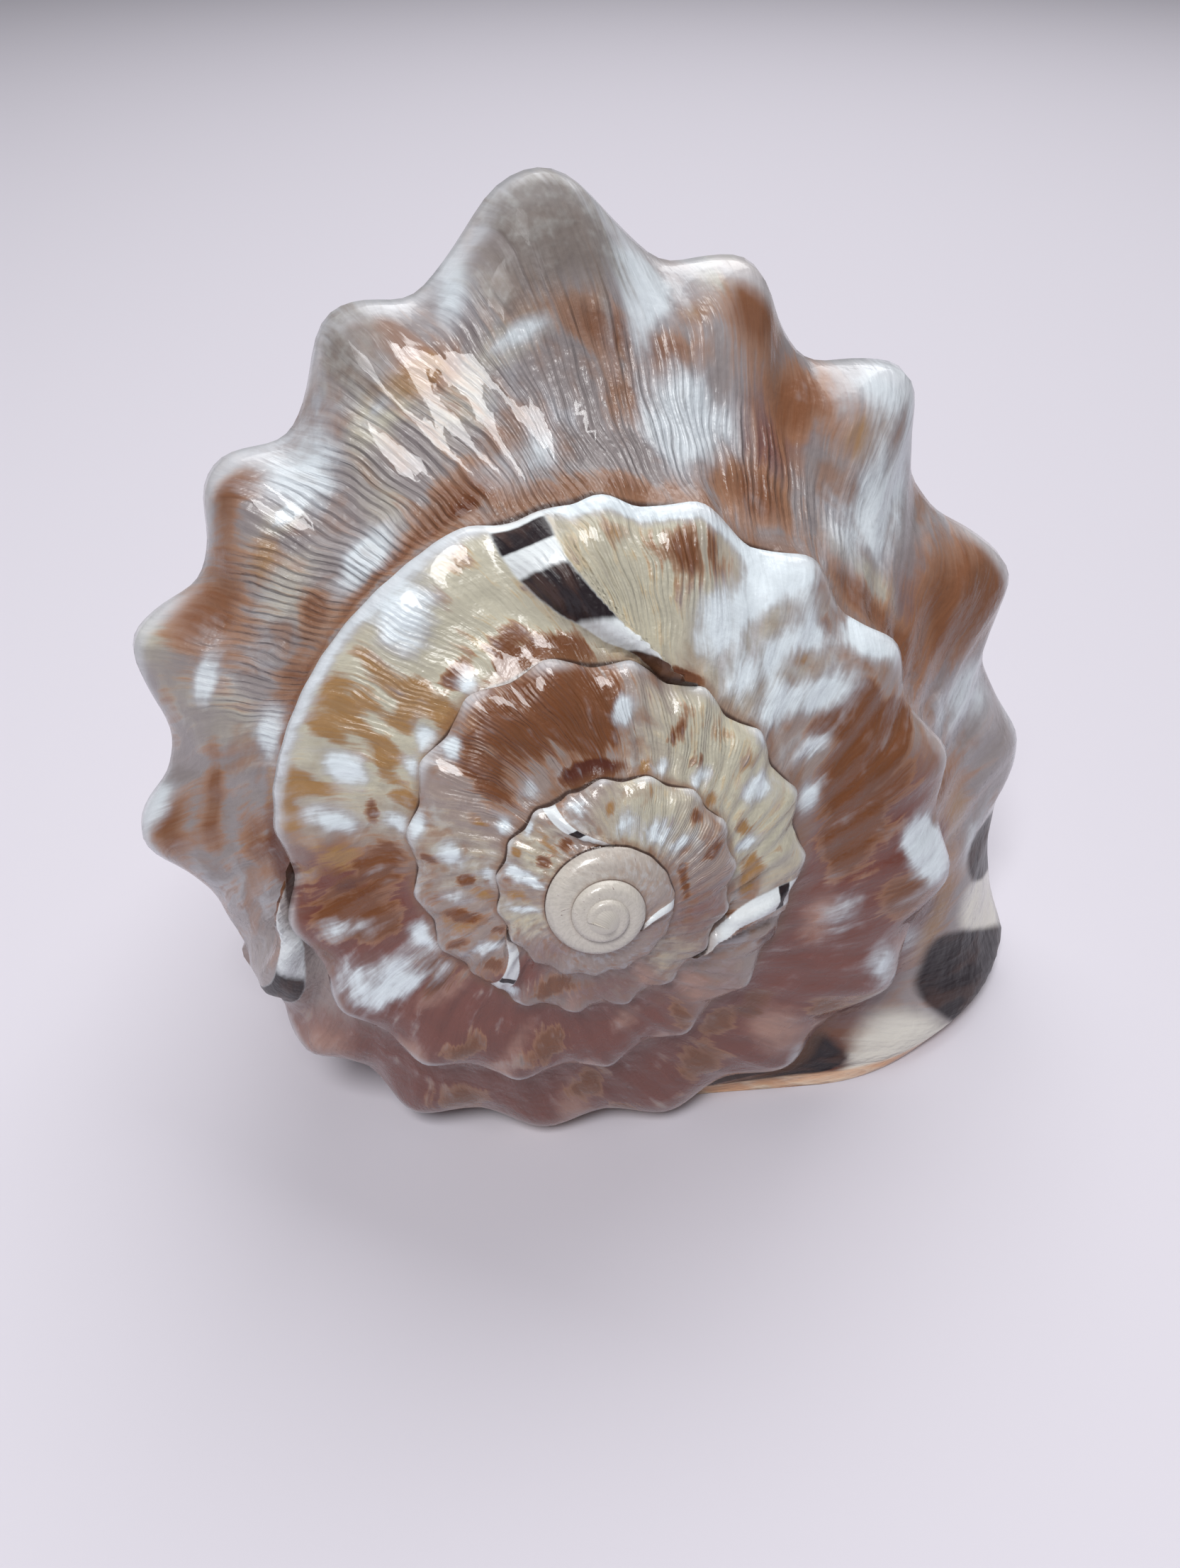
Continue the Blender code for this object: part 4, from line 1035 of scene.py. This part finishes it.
# The ground: warm on the spire, greyer on the last whorl, clouded with pale grey and tan. Below the keel it
# is flecked with cream and chestnut.
colour = mixed(last, WARM_GROUND, GREY_GROUND)
colour = mixed(between(blotch + cloud + feather * 0.5, -0.02, 0.22) * 0.7, colour, PALE_GREY)
colour = mixed(between(cloud * 1.3 - blotch + feather * 0.6, 0.02, 0.26) * 0.6, colour, TAN)
colour = mixed(between(cloud + blotch * 0.8 + feather * 0.3, 0.03, 0.14) * below * 0.75, colour, CREAM)
colour = mixed(between(blotch * 0.9 - cloud + feather * 0.3, 0.05, 0.16) * below * 0.85, colour, CHESTNUT)

# The patches, from the broad soft ones to the small dark ones, then the white over them
# Mauve patches, partly painted shade on the lowest parts below the keel
colour = mixed(soft("mauve_and_shade"), colour, MAUVE_AND_SHADE)
colour = mixed(soft("cream"), colour, CREAM)
veined = attribute("cream") * between(feather + blotch + thread * 0.6, 0.02, 0.22)
colour = mixed(veined * 0.6, colour, PALE_OCHRE)
colour = mixed(soft("pink") * 0.85, colour, PALE_PINK)
colour = mixed(attribute("nucleus"), colour, NUCLEUS)
colour = laid_on(colour, "ochre", OCHRE, TAN, 0.45)
colour = laid_on(colour, "chestnut", CHESTNUT, TAN, 0.75)
# Maroon marks, and painted shade in the hollow behind the lip
colour = laid_on(colour, "maroon_and_hollow_shade", MAROON_AND_SHADE, CHESTNUT, 0.9, 0.6)
white_halo = between(attribute("white") + feather * 1.1 + blotch * 1.2, 0.10, 0.60)
colour = mixed(white_halo * 0.65, colour, PALE_GREY)
white = between(attribute("white") + feather * 0.6 + thread * 0.4 + blotch * 1.3, 0.38, 0.90)
colour = mixed(white * (0.95 - 0.22 * last), colour, BLUE_WHITE)
# Paler knob crests: partly their own pale colour, partly a painted highlight
colour = mixed(between(attribute("tip") + blotch * 0.6, 0.2, 1.1) * 0.65, colour, TIP_PALE_AND_HIGHLIGHT)

# Chalky wear on two horns, and the shades that every growth line brings
chalky = mark("chalk", 0.2, 0.9, 1.4)
chalk_colour = mixed(between(grit + rough_patch + cloud, -0.15, 0.35), CHALK_DARK, CHALK_PALE)
colour = mixed(chalky * 0.8, colour, chalk_colour)
colour = tinted(colour, 1.0 + thread * 0.22 + feather * 0.35 + blotch * 0.4)

# The old lips are white and the outer lip is cream, and dark bars cross both. The same dark is painted shade
# in the hollow behind the lip.
old_lip = (1.0 - between(attribute("lip_side") + blotch * 0.25, 0.90, 1.10)) * attribute("lip_seen")
colour = mixed(old_lip * 0.9, colour, LIP_WHITE)
bare = between(attribute("bare") + blotch * 0.25 + feather * 0.2, 0.30, 0.65)
colour = mixed(bare * 0.92, colour, LIP_CREAM)
# Dark bars, and painted shade in the hollow behind the lip
bar_and_hollow_shade = between(attribute("bar_and_hollow_shade") + feather * 0.16 + blotch * 0.10, 0.36, 0.60)
old_bar = between(attribute("lip_bar") + feather * 0.2 + blotch * 0.2, 0.36, 0.55) * old_lip
bar_and_hollow_shade = bar_and_hollow_shade.math("MAXIMUM", old_bar)
colour = mixed(bar_and_hollow_shade, colour, mixed(between(blotch + feather, -0.05, 0.2), DARK_BAR_AND_SHADE, BROWN_BAR_AND_SHADE))

# The suture: a fine dark line with a brown band beside it, both painted shade in the crevice where the whorls
# meet, and a painted shade line under the keel down to where the next whorl grips
out = Socket.node("ShaderNodeSeparateXYZ", {}, {0: attribute("coil", "Vector")}, 1)
seam = attribute("seam")
colour = mixed((1.0 - between(out + blotch * 0.10, 0.04, 0.17)) * seam * 0.6, colour, SUTURE_SHADE_BROWN)
line = 1.0 - between(out + blotch * 0.02, 0.036, 0.062)
line = line.math("MAXIMUM", between(out, 1.6, 1.9) * attribute("suture_shade_below"))
colour = mixed(line * seam * 0.88, colour, SUTURE_SHADE)

# The underside's peach glaze, cream on the teeth and brown between them and inside
between_teeth = 1.0 - between((attribute("teeth") * TAU).math("COSINE") + blotch * 0.8, -0.45, 0.15)
near_slit = 1.0 - between(attribute("slit") + blotch * 1.2, 1.1, 2.3)
glaze = mixed(between(blotch * 1.6 + feather, -0.2, 0.3), GLAZE_PEACH, GLAZE_CREAM)
glaze = mixed(near_slit * 0.75, glaze, TOOTH_CREAM)
glaze = mixed(near_slit * between_teeth * 0.9, glaze, TOOTH_BROWN)
glaze = mixed(attribute("inside") * 0.8, glaze, TOOTH_BROWN)
colour = mixed(between(attribute("glaze") + blotch * 0.5, 0.25, 0.75), colour, glaze)

# Fine relief: the crests of the slope are ridged, and threads, dents and grit lie over all of it.
ridged = between(attribute("crest") + blotch * 0.6, 0.15, 0.8)
grain_along = Socket.node("ShaderNodeSeparateXYZ", {}, {0: wandering})
wave = (grain_along * (TAU / (GRAIN_ALONG * RIDGE_PITCH)) + blotch * 4.0).math("SINE")
height = wave * ridged * RIDGE_HEIGHT + thread * THREAD_HEIGHT * (0.2 + ridged)
height = height + blotch * DENT_HEIGHT + feather * FEATHER_HEIGHT
height = (height + grit * GRIT_HEIGHT * (0.15 + ridged)) * attribute("size")
height = height + chalky * rough_patch * CHALK_HEIGHT
bump = Socket.node("ShaderNodeBump", {}, {"Strength": 1.0, "Distance": 1.0, "Height": height})
roughness = GLOSS_ROUGHNESS + blotch * 0.25 + chalky * CHALK_ROUGHNESS + bar_and_hollow_shade * BAR_ROUGHNESS
coat = CLEAR_COAT - 0.4 * chalky - 0.40 * bar_and_hollow_shade

surface = {"Base Color": colour, "Normal": bump, "Roughness": roughness, "Coat Weight": coat}
for name, value in surface.items():
    Socket.tree.links.new(value.socket, shader.inputs[name])
shader.inputs["Coat Roughness"].default_value = COAT_ROUGHNESS
shader.inputs["IOR"].default_value = SHELL_IOR

data.polygons.foreach_set("use_smooth", [True] * len(data.polygons))
data.set_sharp_from_angle(angle=SHARP_EDGE)
data.materials.clear()
data.materials.append(material)
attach(shell, "root")
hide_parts("helmet_shell")


# The floor is not part of the shell. It is a plain pale sheet that lies flat and runs out of the picture.
FLOOR_SIZE = 3.0
FLOOR_PLACE = (0.0, 0.6, 0.0)
FLOOR_COLOUR = (0.615, 0.590, 0.655, 1.0)
FLOOR_ROUGHNESS = 0.7

bpy.ops.mesh.primitive_plane_add(size=FLOOR_SIZE, location=FLOOR_PLACE)
floor = bpy.context.object
floor.name = "floor"
floor_material = bpy.data.materials.new("pale_floor")
floor_material.use_nodes = True
paper = floor_material.node_tree.nodes["Principled BSDF"]
paper.inputs["Base Color"].default_value = FLOOR_COLOUR
paper.inputs["Roughness"].default_value = FLOOR_ROUGHNESS
floor.data.materials.append(floor_material)

# Light for the picture: a wide soft window high behind the shell, a smaller soft lamp above and behind the
# camera, and an even sky. Each lamp is: name, place, the point it faces, size, watts.
LAMPS = (
    ("window", (0.10, 0.50, 0.80), (0.0, 0.28, 0.0), 0.8, 6.6),
    ("ceiling", (-0.12, -0.40, 0.72), (0.0, 0.0, 0.02), 0.28, 5.0),
)
SKY_COLOUR = (0.95, 0.95, 1.0, 1.0)
SKY_STRENGTH = 0.13

world = bpy.data.worlds.new("room")
bpy.context.scene.world = world
world.use_nodes = True
world.node_tree.nodes["Background"].inputs["Color"].default_value = SKY_COLOUR
world.node_tree.nodes["Background"].inputs["Strength"].default_value = SKY_STRENGTH
for name, spot, aim, size, watts in LAMPS:
    lamp = bpy.data.lights.new(name, "AREA")
    lamp.size = size
    lamp.energy = watts
    obj = link(name, lamp)
    facing = (Vector(aim) - Vector(spot)).to_track_quat("-Z", "Y").to_matrix().to_4x4()
    obj.matrix_world = Matrix.Translation(spot) @ facing

# Camera at the photo's place: it looks 40 degrees down, one and a half lip radii from the tip of the spire.
PITCH = math.radians(40.0)
TIP_DISTANCE = 1.533
FOCAL_PIXELS = 1663.0
IMAGE_WIDTH, IMAGE_HEIGHT = 1665, 2212
APEX_PIXEL = (857, 1306)
SENSOR_HEIGHT = 24.0
NEAREST_SEEN = 0.005

right = Vector((1, 0, 0))
up = Vector((0, math.sin(PITCH), math.cos(PITCH)))
ahead = Vector((0, math.cos(PITCH), -math.sin(PITCH)))
aside = (APEX_PIXEL[0] - IMAGE_WIDTH / 2) / FOCAL_PIXELS
lower = (APEX_PIXEL[1] - IMAGE_HEIGHT / 2) / FOCAL_PIXELS
ray = ahead + right * aside - up * lower
lens = bpy.data.cameras.new("photo_camera")
lens.sensor_fit = "VERTICAL"
lens.sensor_height = SENSOR_HEIGHT
lens.lens = SENSOR_HEIGHT * FOCAL_PIXELS / IMAGE_HEIGHT
lens.clip_start = NEAREST_SEEN
camera = link("photo_camera", lens)
eye = Vector(APEX) - ray * TIP_DISTANCE * LIP_RADIUS
camera.matrix_world = Matrix.Translation(eye) @ Matrix((right, up, -ahead)).transposed().to_4x4()
bpy.context.scene.camera = camera
bpy.context.scene.view_settings.view_transform = "Standard"

bpy.context.view_layer.update()
